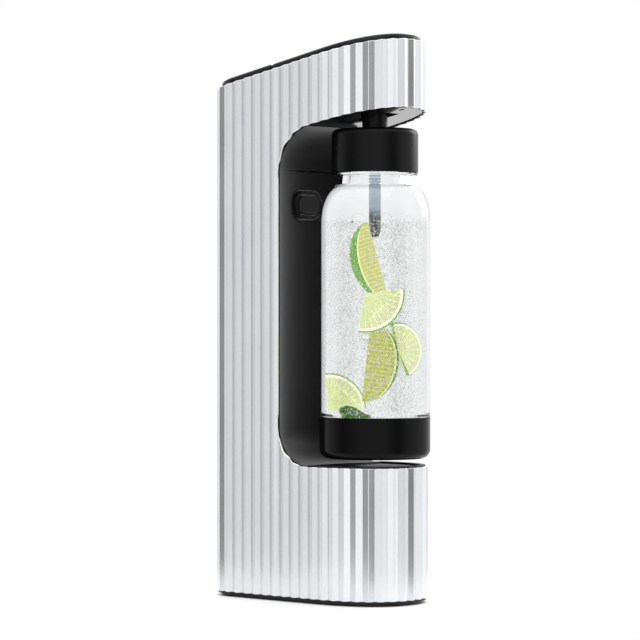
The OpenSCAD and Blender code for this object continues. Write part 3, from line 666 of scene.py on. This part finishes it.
def release_button():
    """The button: rounded front, plain sides."""
    low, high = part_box("release_button")
    width, height = high.x - low.x, high.z - low.z
    pill = (width, height, height / 2 - 1.4 * MM)
    front, back = low.y - NOSE_Y, high.y - NOSE_Y
    rings = [pill_ring(*pill, back)]
    rings += [pill_ring(*pill, front + BUTTON_ROUND - up, inward) for inward, up in rounding(BUTTON_ROUND)]
    rings.append(pill_ring(*pill, front + BUTTON_HOLLOW, 3 * MM))
    return loft("rounded_release_button", rings, [soft_touch], [0] + [0.4] * 6 + [0])


def button_surround():
    """The surround and the closed can behind it, as one turned-in wall."""
    low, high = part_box("release_button")
    hole_w, hole_h = high.x - low.x + 2 * BUTTON_GAP, high.z - low.z + 2 * BUTTON_GAP
    can_w, can_h = hole_w + 2.4 * MM, hole_h + 1.2 * MM
    inner = (hole_w, hole_h, hole_h / 2 - 1.2 * MM)
    outer = (BEZEL_W, BEZEL_H, BEZEL_H / 2 - 0.8 * MM)
    can = (can_w, can_h, can_h / 2 - 0.6 * MM)
    rings = [pill_ring(*inner, BEZEL_BACK - 1 * MM), pill_ring(*inner, BEZEL_FRONT + 0.5 * MM),
             pill_ring(*inner, BEZEL_FRONT, -0.3 * MM)]
    rings += [pill_ring(*outer, BEZEL_FRONT + BEZEL_ROUND - up, inward)
              for inward, up in reversed(rounding(BEZEL_ROUND, 6))]
    rings += [pill_ring(*outer, PANEL_FRONT + 0.6 * MM), pill_ring(*can, PANEL_FRONT + 0.6 * MM),
              pill_ring(*can, BEZEL_BACK)]
    return loft("raised_button_surround", rings, [satin_black])


fit(release_button(), "button", "button_plastic", "release_button")
fit(button_surround(), "casing", "panel_plastic", "button_bezel")


# ---- Carbonating head ----
# The collar that grips the bottle's neck hangs from a tilting neck. Gas enters the drink through a slim steel
# nozzle. Collar and neck are satin black mouldings, the nozzle is polished steel.

LATHE_TURNS = 128
COLLAR_ROUND = 4.5 * MM
COLLAR_WALL = 2.3 * MM
COLLAR_TOP_T = 6 * MM

collar_black = finish("collar_black", (0.003, 0.003, 0.0035), 0.27, grain=1500, bump=0.07, mottle=0.3, smudge=0.1,
                      Specular_IOR_Level=0.13)
nozzle_steel = finish("nozzle_steel", (0.36, 0.43, 0.50), 0.22, grain=700, bump=0.08, mottle=0.25, smudge=0.2,
                      edge_colour=(0.02, 0.025, 0.03), edge_wear=1.6, Metallic=1.0)


def rounded(corners, steps=6):
    """A closed outline from corners (r, z, radius), each rounded by an arc."""
    outline = []
    count = len(corners)
    for i, (r, z, radius) in enumerate(corners):
        here = Vector((r, z))
        if radius <= 0:
            outline.append(here)
            continue
        to_last = (Vector(corners[i - 1][:2]) - here).normalized()
        to_next = (Vector(corners[(i + 1) % count][:2]) - here).normalized()
        half = to_last.angle(to_next) / 2
        start, end = here + to_last * radius / math.tan(half), here + to_next * radius / math.tan(half)
        centre = here + (to_last + to_next).normalized() * radius / math.sin(half)
        for k in range(steps + 1):
            spoke = (start - centre).lerp(end - centre, k / steps).normalized()
            outline.append(centre + spoke * radius)
    return outline


def turned(name, corners, axis, materials, steps=6, marks=None, sharp=SHARP):
    """A piece turned about an upright axis (x, y) from a closed outline of corners (r, z, radius)."""
    outline = rounded(corners, steps)
    rings = []
    for r, z in outline:
        rings.append([(axis[0] + r * math.cos(a), axis[1] + r * math.sin(a), z)
                      for a in (2 * math.pi * k / LATHE_TURNS for k in range(LATHE_TURNS))])
    size = len(rings)
    points = [point for ring in rings for point in ring]
    faces = []
    for i in range(size):
        j = (i + 1) % size
        if outline[i].x > 1e-6 or outline[j].x > 1e-6:
            faces += band(i, j, LATHE_TURNS)
    worn = [marks(p) for p in outline for _ in range(LATHE_TURNS)] if marks else None
    return solid(name, points, faces, materials, worn, sharp=sharp)


collar_low, collar_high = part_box("bottle_collar")
nozzle_low, nozzle_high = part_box("dip_nozzle")
NECK_AXIS = ((collar_low.x + collar_high.x) / 2, (collar_low.y + collar_high.y) / 2)
COLLAR_R = (collar_high.x - collar_low.x) / 2
NOZZLE_R = (nozzle_high.x - nozzle_low.x) / 2
COLLAR_BORE = NOZZLE_R + 0.05 * MM
COLLAR_INNER = COLLAR_R - COLLAR_WALL
COLLAR_ROOF = collar_high.z - COLLAR_TOP_T
collar = turned("turned_collar", [
    (COLLAR_BORE, collar_high.z, 0), (COLLAR_R, collar_high.z, COLLAR_ROUND), (COLLAR_R, collar_low.z, 1.2 * MM),
    (COLLAR_INNER, collar_low.z, 0.5 * MM), (COLLAR_INNER, COLLAR_ROOF, 1 * MM), (COLLAR_BORE, COLLAR_ROOF, 0)],
    NECK_AXIS, [collar_black])
fit(collar, "swivel", "collar_plastic", "bottle_collar")

STAIN = 12 * MM
TIP_HOLE = 1.2 * MM
NOZZLE_BORE = NOZZLE_R - 0.65 * MM
nozzle = turned("turned_nozzle", [
    (TIP_HOLE, nozzle_low.z, 0.1 * MM), (2.6 * MM, nozzle_low.z, 0.6 * MM), (NOZZLE_R, nozzle_low.z + 5 * MM, 3 * MM),
    (NOZZLE_R, nozzle_low.z + STAIN, 0), (NOZZLE_R, nozzle_low.z + 2 * STAIN, 0),
    (NOZZLE_R, nozzle_high.z, 0.2 * MM), (NOZZLE_BORE, nozzle_high.z, 0), (NOZZLE_BORE, nozzle_low.z + 7 * MM, 0),
    (TIP_HOLE, nozzle_low.z + 6 * MM, 0)], NECK_AXIS, [nozzle_steel],
    marks=lambda point: 1.0 if point.y < nozzle_low.z + 1.5 * STAIN else 0.0)
fit(nozzle, "swivel", "nozzle_steel", "dip_nozzle")


# ---- Bottle ----
# A clear wide-mouth bottle with a round shoulder, two beads round its neck and a flange under the collar, glued
# into a satin black cup.

BOTTLE_GLASS_T = 1.3 * MM
SHOULDER = 27.5 * MM
SHOULDER_TURN = 76
SHOULDER_BELOW_COLLAR = 8.5 * MM
CUP_T = 2 * MM
CUP_ROUND = 7 * MM

cup_low, cup_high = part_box("bottle_cup")
glass_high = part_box("bottle_glass")[1]
BOTTLE_R = (cup_high.x - cup_low.x) / 2 - 0.02 * MM
MOUTH_R = 27.9 * MM
SHOULDER_Z = collar_low.z - SHOULDER_BELOW_COLLAR

cup_black = finish("cup_black", (0.003, 0.003, 0.0035), 0.22, grain=1300, bump=0.06, mottle=0.3,
                   Specular_IOR_Level=0.09)
cup = turned("turned_cup", [
    (0, cup_low.z, 0), (BOTTLE_R, cup_low.z, CUP_ROUND), (BOTTLE_R, cup_high.z, 0.5 * MM),
    (BOTTLE_R - CUP_T, cup_high.z, 0.3 * MM), (BOTTLE_R - CUP_T, cup_low.z + CUP_T, CUP_ROUND - CUP_T),
    (0, cup_low.z + CUP_T, 0)], NECK_AXIS, [cup_black])
fit(cup, "bottle", "cup_plastic", "bottle_cup")


GLASS_TINT = (0.985, 0.992, 0.992)
clear_glass = finish("clear_glass", GLASS_TINT, 0.0, grain=45.0, bump=0.05, bump_depth=0.1 * MM, mottle=0.015,
                     smudge=0.04, edge_colour=GLASS_TINT, edge_wear=0.0, Transmission_Weight=1.0, IOR=1.46)


def arc_corners(centre, radius, first, last, steps):
    """Corners (r, z, 0) along an arc, angles in degrees."""
    turns = [math.radians(first + (last - first) * i / steps) for i in range(steps + 1)]
    return [(centre[0] + radius[0] * math.cos(a), centre[1] + radius[1] * math.sin(a), 0) for a in turns]


def profile(r, z, *rows):
    """Corners (r, z, radius) from rows of mm: outward from a radius, upward from a height, and the rounding."""
    return [(r + out * MM, z + up * MM, turn * MM) for out, up, turn in rows]


def bottle():
    """The bottle's wall: outside from foot to rim, then inside back down."""
    foot_r = BOTTLE_R - CUP_T - 0.1 * MM
    floor = cup_low.z + CUP_T + 0.1 * MM
    shoulder = (BOTTLE_R - MOUTH_R, SHOULDER)
    outside = [(0, floor, 0), (foot_r, floor, CUP_ROUND - CUP_T), (foot_r, cup_high.z + 0.1 * MM, 0),
               (BOTTLE_R, cup_high.z + 0.1 * MM, 0.6 * MM)]
    outside += arc_corners((MOUTH_R, SHOULDER_Z - SHOULDER), shoulder, 0, SHOULDER_TURN, 20)
    outside += profile(MOUTH_R, SHOULDER_Z, (0, 0.3, 1.6), (0, 1.4, 0), (0.5, 2, 0.5), (0, 3, 0), (0, 4, 0),
                       (0.5, 4.7, 0.5), (0, 5.6, 0))
    outside += profile(MOUTH_R, collar_low.z, (0, -2, 0.3))
    outside += profile(COLLAR_R, collar_low.z, (-0.4, -1.8, 0.4), (-0.4, -0.4, 0.4))
    outside += profile(MOUTH_R, collar_low.z, (0, -0.2, 0.3))
    outside += profile(MOUTH_R, glass_high.z, (0, -4, 0), (1.6, -3.4, 0.3), (1.6, 0, 0.4))
    inner_mouth = MOUTH_R - BOTTLE_GLASS_T
    outside.append((inner_mouth, glass_high.z, 0.4 * MM))
    inside = arc_corners((inner_mouth, SHOULDER_Z - SHOULDER - BOTTLE_GLASS_T), shoulder, SHOULDER_TURN, 0, 20)
    inside += profile(BOTTLE_R - BOTTLE_GLASS_T, cup_high.z, (0, 3, 1.5))
    inside += profile(foot_r - BOTTLE_GLASS_T, cup_high.z, (0, -1, 1.5))
    inside += profile(foot_r - BOTTLE_GLASS_T, floor, (0, 3, 3))
    inside += profile(0, floor, (0, 5, 0))
    return turned("blown_bottle", outside + inside, NECK_AXIS, [clear_glass], steps=4, sharp=SHARP_ON_CURVES)


fit(bottle(), "bottle", "glass", "bottle_glass")


# ---- Inner pieces ----
# Frames, springs, lever, valve and gas cylinder keep their mechanical shapes. Each takes the finish of its stock:
# glass-filled nylon, rubber, drawn steel, machined aluminium and brass, or the cylinder's lacquer.

stock = {
    "base_plastic": matt_black,
    "underplate_gloss": gloss_black,
    "collar_plastic": collar_black,
    "frame_plastic": finish("filled_nylon", (0.075, 0.075, 0.082), 0.55, grain=900, bump=0.35, mottle=0.3),
    "rubber": finish("black_rubber", (0.022, 0.022, 0.022), 0.7, grain=1100, bump=0.3, mottle=0.2),
    "seal_rubber": finish("grey_silicone", (0.10, 0.10, 0.11), 0.5, grain=1100, bump=0.2, mottle=0.2),
    "steel": finish("drawn_steel", (0.58, 0.60, 0.62), 0.28, grain=900, bump=0.25, mottle=0.25, smudge=0.25,
                    Metallic=1.0),
    "valve_aluminium": finish("machined_aluminium", (0.75, 0.76, 0.78), 0.3, grain=1300, bump=0.3, mottle=0.15,
                              Metallic=1.0),
    "brass": finish("machined_brass", (0.80, 0.62, 0.30), 0.26, grain=1000, bump=0.25, mottle=0.25, smudge=0.2,
                    Metallic=1.0),
    "cylinder_paint": finish("cylinder_lacquer", (0.50, 0.52, 0.55), 0.32, grain=700, bump=0.2, mottle=0.12,
                             Coat_Weight=0.4, Coat_Roughness=0.15),
}


COIL_STEPS = 32
WIRE_SIDES = 10


def spring(name, node, along, wire, turns):
    """A coil spring in place of a node, along one axis (0 to 2)."""
    low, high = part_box(node)
    across = [k for k in range(3) if k != along]
    centre = (low + high) / 2
    radius = (high[across[0]] - low[across[0]]) / 2 - wire
    length = high[along] - low[along] - 2 * wire
    steps, sides = int(turns * COIL_STEPS), WIRE_SIDES
    rings = []
    for i in range(steps + 1):
        a = 2 * math.pi * turns * i / steps
        ring = []
        for k in range(sides):
            b = 2 * math.pi * k / sides
            point = [0.0, 0.0, 0.0]
            point[across[0]] = centre[across[0]] + (radius + wire * math.cos(b)) * math.cos(a)
            point[across[1]] = centre[across[1]] + (radius + wire * math.cos(b)) * math.sin(a)
            point[along] = low[along] + wire + length * i / steps + wire * math.sin(b)
            ring.append(tuple(point))
        rings.append(ring)
    piece = fit(loft(name, rings, [stock["steel"]]), "casing", "steel", node)
    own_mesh(piece)


spring("coiled_lever_spring", "lever_spring", 2, 0.6 * MM, 5)
spring("coiled_relief_spring", "relief_spring", 0, 0.4 * MM, 4)
spring("coiled_button_spring", "button_spring", 1, 0.35 * MM, 3)
for part in frame["record"]["subparts"]:
    node = frame["nodes"][part["node"]]
    if not node.hide_render:
        node.data.materials.clear()
        node.data.materials.append(stock[part["material_slot"]])


# ---- Drink ----
# Sparkling water with bubbles and pieces of lime. These are the bottle's contents, shown for scale and use only.
# A glowing sheet lines the bottle's far side as painted light, so that its contents read as lit from all round.
# The fizz, the bubbles and the limes glow too: painted light, not lamps.

WATER_TOP = SHOULDER_Z - SHOULDER - 0.5 * MM
WATER_GAP = 0.3 * MM
WATER_R = BOTTLE_R - BOTTLE_GLASS_T - WATER_GAP
WATER_NECK_R = MOUTH_R - BOTTLE_GLASS_T - WATER_GAP
VIEW_NEAR = Vector((-0.7494, -0.6621, 0))
VIEW_RIGHT = Vector((0.6621, -0.7494, 0))
UP = Vector((0, 0, 1))


def contents(piece):
    """Ties a piece to the bottle, so that it moves with it."""
    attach(piece, "bottle")


def show_where(tree, share, shader):
    """Makes a material clear, except by the share where its shader shows."""
    mix = add(tree, "MixShader")
    tree.links.new(share, mix.inputs["Fac"])
    tree.links.new(add(tree, "BsdfTransparent").outputs[0], mix.inputs[1])
    tree.links.new(shader.outputs[0], mix.inputs[2])
    tree.links.new(mix.outputs[0], tree.nodes["Material Output"].inputs["Surface"])


def painted_glow_liner():
    """Painted glow: bright where it is seen from inside, clear where it is seen from outside."""
    material, tree, shader = plain_material("painted_glow_sheet", Roughness=1.0, Base_Color=(0, 0, 0, 1),
                                            Specular_IOR_Level=0, Emission_Strength=1.0)
    tree.links.new(blend_colours(tree, noise(tree, 30, 3), (0.80, 0.82, 0.83), (0.93, 0.94, 0.94)),
                   shader.inputs["Emission Color"])
    show_where(tree, add(tree, "NewGeometry").outputs["Backfacing"], shader)
    return material


# Cell distances that bound each bubble's painted dark rim and, inside it, its painted white highlight.
FIZZ_RIM = 0.42
FIZZ_HIGHLIGHT = 0.27


def fizz(name, scale, share, strength):
    """Small bubbles on a clear glowing sheet: painted dark rims and white hearts that are painted highlights."""
    material, tree, shader = plain_material(name, Roughness=0.4, Base_Color=(0.05, 0.05, 0.05, 1),
                                            Emission_Strength=0.85)
    cells = add(tree, "TexVoronoi")
    cells.inputs["Scale"].default_value = scale
    tree.links.new(add(tree, "TexCoord").outputs["Object"], cells.inputs["Vector"])
    distance = cells.outputs["Distance"]
    cell = add(tree, "SeparateColor")
    tree.links.new(cells.outputs["Color"], cell.inputs[0])
    kept = calc(tree, "LESS_THAN", cell.outputs[0], share)
    within = calc(tree, "LESS_THAN", distance, FIZZ_RIM)
    rim = calc(tree, "GREATER_THAN", distance, FIZZ_HIGHLIGHT)
    # Painted light: the dark rims stand for light bent away at each bubble's edge, the white hearts for its
    # highlight.
    tone = blend_colours(tree, cell.outputs[1], (0.16, 0.18, 0.16), (0.74, 0.76, 0.70))
    tree.links.new(blend_colours(tree, rim, (0.98, 0.98, 0.98), tone), shader.inputs["Emission Color"])
    drift = calc(tree, "MULTIPLY_ADD", noise(tree, 70, 3), 1.6, -0.2, clamp=True)
    facing = add(tree, "SeparateXYZ")
    tree.links.new(add(tree, "NewGeometry").outputs["Normal"], facing.inputs[0])
    upright = calc(tree, "LESS_THAN", calc(tree, "ABSOLUTE", facing.outputs["Z"]), 0.5)
    ringed = calc(tree, "MULTIPLY", calc(tree, "MULTIPLY", kept, within), upright)
    show_where(tree, calc(tree, "MULTIPLY", ringed, calc(tree, "MULTIPLY", drift, strength)), shader)
    return material


WATER_LOW = cup_high.z - 14 * MM
liner = [(0, WATER_LOW, 0), (WATER_R - 6 * MM, WATER_LOW, 4 * MM), (WATER_R, cup_high.z + 4 * MM, 1 * MM)]
liner += arc_corners((WATER_NECK_R, SHOULDER_Z - SHOULDER - BOTTLE_GLASS_T), (BOTTLE_R - MOUTH_R, SHOULDER), 0,
                     SHOULDER_TURN, 16)
liner += [(WATER_NECK_R, collar_low.z + 1 * MM, 0), (0, collar_low.z + 1 * MM, 0)]
contents(turned("painted_glow_liner", liner, NECK_AXIS, [painted_glow_liner()]))
for layer, (depth, scale, share, strength) in enumerate(((0.8, 780, 0.8, 1.0), (12, 430, 0.6, 0.9))):
    r = WATER_R - depth * MM
    low, high = WATER_LOW + 1 * MM, WATER_TOP - depth * 0.1 * MM
    sheet = [(0, low, 0), (r - 5 * MM, low, 0), (r, cup_high.z, 0), (r, high, 0), (0, high, 0)]
    contents(turned(f"fizz_{layer}", sheet, NECK_AXIS, [fizz(f"fizz_{layer}", scale, share, strength)]))


def bubbles(name, count, seed, sizes, lowest, highest, inner, outer, material):
    """Loose bubbles between two radii round the bottle's axis."""
    draw = random.Random(seed)
    bm = bmesh.new()
    for _ in range(count):
        angle = draw.uniform(0, 2 * math.pi)
        r = draw.uniform(inner, outer)
        size = sizes[0] + (sizes[1] - sizes[0]) * draw.random() ** 3
        centre = Vector((NECK_AXIS[0] + r * math.cos(angle), NECK_AXIS[1] + r * math.sin(angle),
                         draw.uniform(lowest, highest)))
        bmesh.ops.create_icosphere(bm, subdivisions=1 if size < 0.9 * MM else 3, radius=size,
                                   matrix=Matrix.Translation(centre))
    contents(to_object(name, bm, [material]))


def bubble_material(name, rim_share):
    """A bubble against bright water: a glowing grey rim painted for the light bent at its edge, clear in its heart.
    """
    material, tree, shader = plain_material(name, Roughness=0.2, Base_Color=(0.1, 0.1, 0.1, 1),
                                            Emission_Strength=0.9)
    tone = blend_colours(tree, noise(tree, 140, 2), (0.20, 0.22, 0.20), (0.62, 0.64, 0.60))
    tree.links.new(tone, shader.inputs["Emission Color"])
    facing = add(tree, "LayerWeight")
    facing.inputs["Blend"].default_value = 0.5
    rim = calc(tree, "POWER", facing.outputs["Facing"], 3.5)
    show_where(tree, calc(tree, "MULTIPLY", rim, rim_share), shader)
    return material


small_bubble = bubble_material("small_bubble", 0.85)
large_bubble = bubble_material("large_bubble", 0.55)
bubbles("fine_bubbles", 900, 3, (0.3 * MM, 1.0 * MM), cup_high.z, WATER_TOP, WATER_R - 3.6 * MM, WATER_R - 1.2 * MM,
        small_bubble)
bubbles("foam_bubbles", 14, 5, (2.4 * MM, 4.6 * MM), WATER_TOP, WATER_TOP + 1.5 * MM, 30 * MM, WATER_R - 5 * MM,
        large_bubble)
bubbles("top_bubbles", 3, 12, (6 * MM, 7.5 * MM), WATER_TOP - 0.5 * MM, WATER_TOP + 1 * MM, 9 * MM, 20 * MM,
        large_bubble)


LIME_CELLS = 10.0
PITH_SHARE = 0.89
PEEL_SHARE = 0.955


def lime_material(name, flesh, pith, peel, glow):
    """Lime: peel with fine pores outside, pale pith under it, streaky flesh with pale membranes inside."""
    material, tree, shader = plain_material(name, Roughness=0.35, Emission_Strength=glow, Specular_IOR_Level=0.1)
    share, turn = attribute(tree, "share"), attribute(tree, "turn")
    streak = noise(tree, 260, 2)
    inner = blend_colours(tree, streak, [c * 0.72 for c in flesh], flesh)
    cells = calc(tree, "FRACT", calc(tree, "MULTIPLY", turn, LIME_CELLS))
    wave = calc(tree, "ABSOLUTE", calc(tree, "SUBTRACT", cells, 0.5))
    membrane = calc(tree, "GREATER_THAN", wave, 0.45)
    inner = blend_colours(tree, calc(tree, "MULTIPLY", membrane, 0.8), inner, pith)
    pored = blend_colours(tree, noise(tree, 900, 2), [c * 0.6 for c in peel], peel)
    edge = blend_colours(tree, calc(tree, "GREATER_THAN", share, PEEL_SHARE), pith, pored)
    colour = blend_colours(tree, calc(tree, "GREATER_THAN", share, PITH_SHARE), inner, edge)
    tree.links.new(colour, shader.inputs["Base Color"])
    # Painted glow: the lime shines in its own colour at the glow level, as if lit through the water from behind.
    tree.links.new(colour, shader.inputs["Emission Color"])
    return material


def lime_piece(name, rings, material, place, lean, turn):
    """A piece of lime from rings of (right, up, near, share, turn) in mm. It leans clockwise as the camera faces
    the drink, and is turned about the upright."""
    a, b = math.radians(lean), math.radians(turn)
    across = VIEW_RIGHT * math.cos(b) + VIEW_NEAR * math.sin(b)
    right, up = across * math.cos(a) - UP * math.sin(a), UP * math.cos(a) + across * math.sin(a)
    centre = Vector((*NECK_AXIS, 0)) + VIEW_RIGHT * place[0] * MM + VIEW_NEAR * place[1] * MM + UP * place[2] * MM
    bm = bmesh.new()
    layers = [bm.verts.layers.float.new(kind) for kind in ("share", "turn")]
    rows = []
    near = right.cross(up)
    for ring in rings:
        row = []
        for x, y, z, share, turned_by in ring:
            vert = bm.verts.new(centre + (right * x + up * y + near * z) * MM)
            vert[layers[0]], vert[layers[1]] = share, turned_by
            row.append(vert)
        rows.append(row)
    for here, after in zip(rows, rows[1:]):
        for i in range(len(here)):
            j = (i + 1) % len(here)
            bm.faces.new((here[i], here[j], after[j], after[i]))
    bm.faces.new(rows[0])
    bm.faces.new(rows[-1])
    bmesh.ops.remove_doubles(bm, verts=bm.verts, dist=WELD)
    bmesh.ops.recalc_face_normals(bm, faces=bm.faces)
    contents(to_object(name, bm, [material], SHARP))


def wedge_rings(long_r, round_r, first, last):
    """A wedge of an egg-shaped fruit about its long axis (up), between two angles from right towards near."""
    rings = []
    skin = [math.radians(first + (last - first) * k / 16) for k in range(17)]
    for i in range(1, 32):
        t = math.pi * (i / 32 - 0.5)
        r, rise = round_r * math.cos(t), long_r * math.sin(t)
        first_cut, last_cut = [[(r * k / 8 * math.cos(a), rise, r * k / 8 * math.sin(a), k / 8, rise / long_r)
                                for k in range(8)] for a in (skin[0], skin[-1])]
        peel = [(r * math.cos(a), rise, r * math.sin(a), 1.0, 0.05) for a in skin]
        rings.append(first_cut + peel + last_cut[:0:-1])
    return rings


def slice_rings(radius, thick, first, last):
    """A slice of fruit facing near, as a sector between two angles from right towards up."""
    turns = [math.radians(first + (last - first) * k / 40) for k in range(41)]
    rings = []
    for share, near in ((0.04, 0), (0.3, 0), (0.6, 0), (0.88, 0), (0.95, 0), (0.98, -0.06), (1.0, -0.2), (1.0, -0.8),
                        (0.98, -0.94), (0.95, -1), (0.6, -1), (0.04, -1)):
        rings.append([(radius * share * math.cos(a), radius * share * math.sin(a), thick * near, share, k / 40)
                      for k, a in enumerate(turns)])
    return rings


# The four limes differ in colour and in the strength of their painted glow.
bright_lime = lime_material("bright_lime", (0.46, 0.46, 0.09), (0.70, 0.74, 0.42), (0.10, 0.30, 0.0), 0.75)
olive_lime = lime_material("olive_lime", (0.40, 0.41, 0.04), (0.62, 0.66, 0.30), (0.10, 0.25, 0.004), 0.6)
pale_lime = lime_material("pale_lime", (0.60, 0.64, 0.30), (0.80, 0.83, 0.64), (0.22, 0.42, 0.05), 0.65)
dark_lime = lime_material("dark_lime", (0.30, 0.34, 0.06), (0.50, 0.52, 0.20), (0.035, 0.12, 0.002), 0.5)
lime_piece("lime_wedge", wedge_rings(30, 21, 158, 228), bright_lime, (2, 20, 264), -16, -20)
lime_piece("lime_half", slice_rings(30, 6, -100, 6), pale_lime, (-8, 31, 238), 0, 0)
lime_piece("lime_long", wedge_rings(31, 25, -60, 14), olive_lime, (-7, 18, 186), 6, 0)
lime_piece("lime_side", slice_rings(22, 6, -60, 100), pale_lime, (17, 24, 194), 0, -28)
lime_piece("lime_peel", wedge_rings(14, 8, 30, 150), dark_lime, (-15, 26, 143), -58, 0)
lime_piece("lime_left", slice_rings(29, 5, 4, 94), pale_lime, (-35, 12, 148), 0, -12)


# ---- Floor, light and camera ----
# A plain pale floor and soft light from all round, with the darker gaps of a small studio behind the machine.

FLOOR_R = 0.24
FLOOR_SIDES = 96
floor_mesh = bpy.data.meshes.new("floor")
floor_turns = [2 * math.pi * k / FLOOR_SIDES for k in range(FLOOR_SIDES)]
floor_rim = [(FLOOR_R * math.cos(a), FLOOR_R * math.sin(a), 0) for a in floor_turns]
floor_mesh.from_pydata(floor_rim, [], [tuple(range(FLOOR_SIDES))])
floor = bpy.data.objects.new("floor", floor_mesh)
scene.collection.objects.link(floor)
pale, pale_tree, pale_shader = plain_material("pale_floor", Roughness=0.6)
pale_shade = blend_colours(pale_tree, noise(pale_tree, 3, 3), (0.93, 0.93, 0.93), (0.96, 0.96, 0.96))
pale_tree.links.new(pale_shade, pale_shader.inputs["Base Color"])
floor_mesh.materials.append(pale)

# Levels of the light all round: (degrees from +X towards +Y, level)
AROUND_LEVELS = [(0, 0.95), (60, 1.05), (95, 0.95), (125, 0.8), (137, 0.5), (147, 0.15), (160, 0.3), (173, 0.6),
                 (184, 0.97), (205, 1.0), (228, 1.2), (246, 1.0), (257, 0.5), (268, 0.05), (278, 0.3), (292, 1.2),
                 (320, 1.12), (345, 0.85), (360, 0.85)]
ABOVE_LEVEL = 1.3
PEAK_LEVEL = 2.0


def studio_world():
    """Soft light whose level depends on the direction that it comes from."""
    world = bpy.data.worlds.new("soft_studio")
    scene.world = world
    world.use_nodes = True
    tree = world.node_tree
    background = tree.nodes["Background"]
    split = add(tree, "SeparateXYZ")
    tree.links.new(add(tree, "TexCoord").outputs["Generated"], split.inputs[0])
    turn = calc(tree, "ARCTAN2", split.outputs["Y"], split.outputs["X"])
    share = calc(tree, "FRACT", calc(tree, "DIVIDE", turn, 2 * math.pi))
    ramp = add(tree, "ValToRGB")
    tree.links.new(share, ramp.inputs["Fac"])
    stops = ramp.color_ramp.elements
    for i, (degrees, level) in enumerate(AROUND_LEVELS):
        stop = stops[i] if i < 2 else stops.new(degrees / 360)
        stop.position = degrees / 360
        stop.color = (*[level / PEAK_LEVEL] * 3, 1)
    sides = calc(tree, "MULTIPLY", ramp.outputs["Color"], PEAK_LEVEL)
    rise = calc(tree, "MULTIPLY_ADD", split.outputs["Z"], 2.2, -0.35, clamp=True)
    level = blend_colours(tree, rise, sides, (ABOVE_LEVEL, ABOVE_LEVEL, ABOVE_LEVEL))
    seen = add(tree, "LightPath").outputs["Is Camera Ray"]
    tree.links.new(blend_colours(tree, seen, level, (1.0, 1.0, 1.0)), background.inputs["Color"])


studio_world()


def soft_light(name, place, target, size, power):
    """A square soft light aimed at a point."""
    data = bpy.data.lights.new(name, "AREA")
    data.size = size
    data.energy = power
    lamp = bpy.data.objects.new(name, data)
    lamp.location = place
    lamp.rotation_euler = (Vector(target) - Vector(place)).to_track_quat("-Z", "Y").to_euler()
    scene.collection.objects.link(lamp)


MIDDLE = (0, 0, 0.22)
soft_light("overhead", (-0.3, -0.3, 1.6), MIDDLE, 1.4, 4)
soft_light("right", (1.3, -0.2, 0.75), MIDDLE, 0.6, 4)

CAMERA_PLACE = (-1.6271, -1.4289, 0.2178)
CAMERA_TURN = math.radians(-48.54)
CAMERA_LENS_MM = 155.4
camera = bpy.data.objects.new("camera", bpy.data.cameras.new("camera"))
camera.location = CAMERA_PLACE
camera.rotation_euler = (math.pi / 2, 0, CAMERA_TURN)
camera.data.sensor_width = 36
camera.data.lens = CAMERA_LENS_MM
scene.collection.objects.link(camera)
scene.camera = camera
scene.view_settings.view_transform = "Standard"
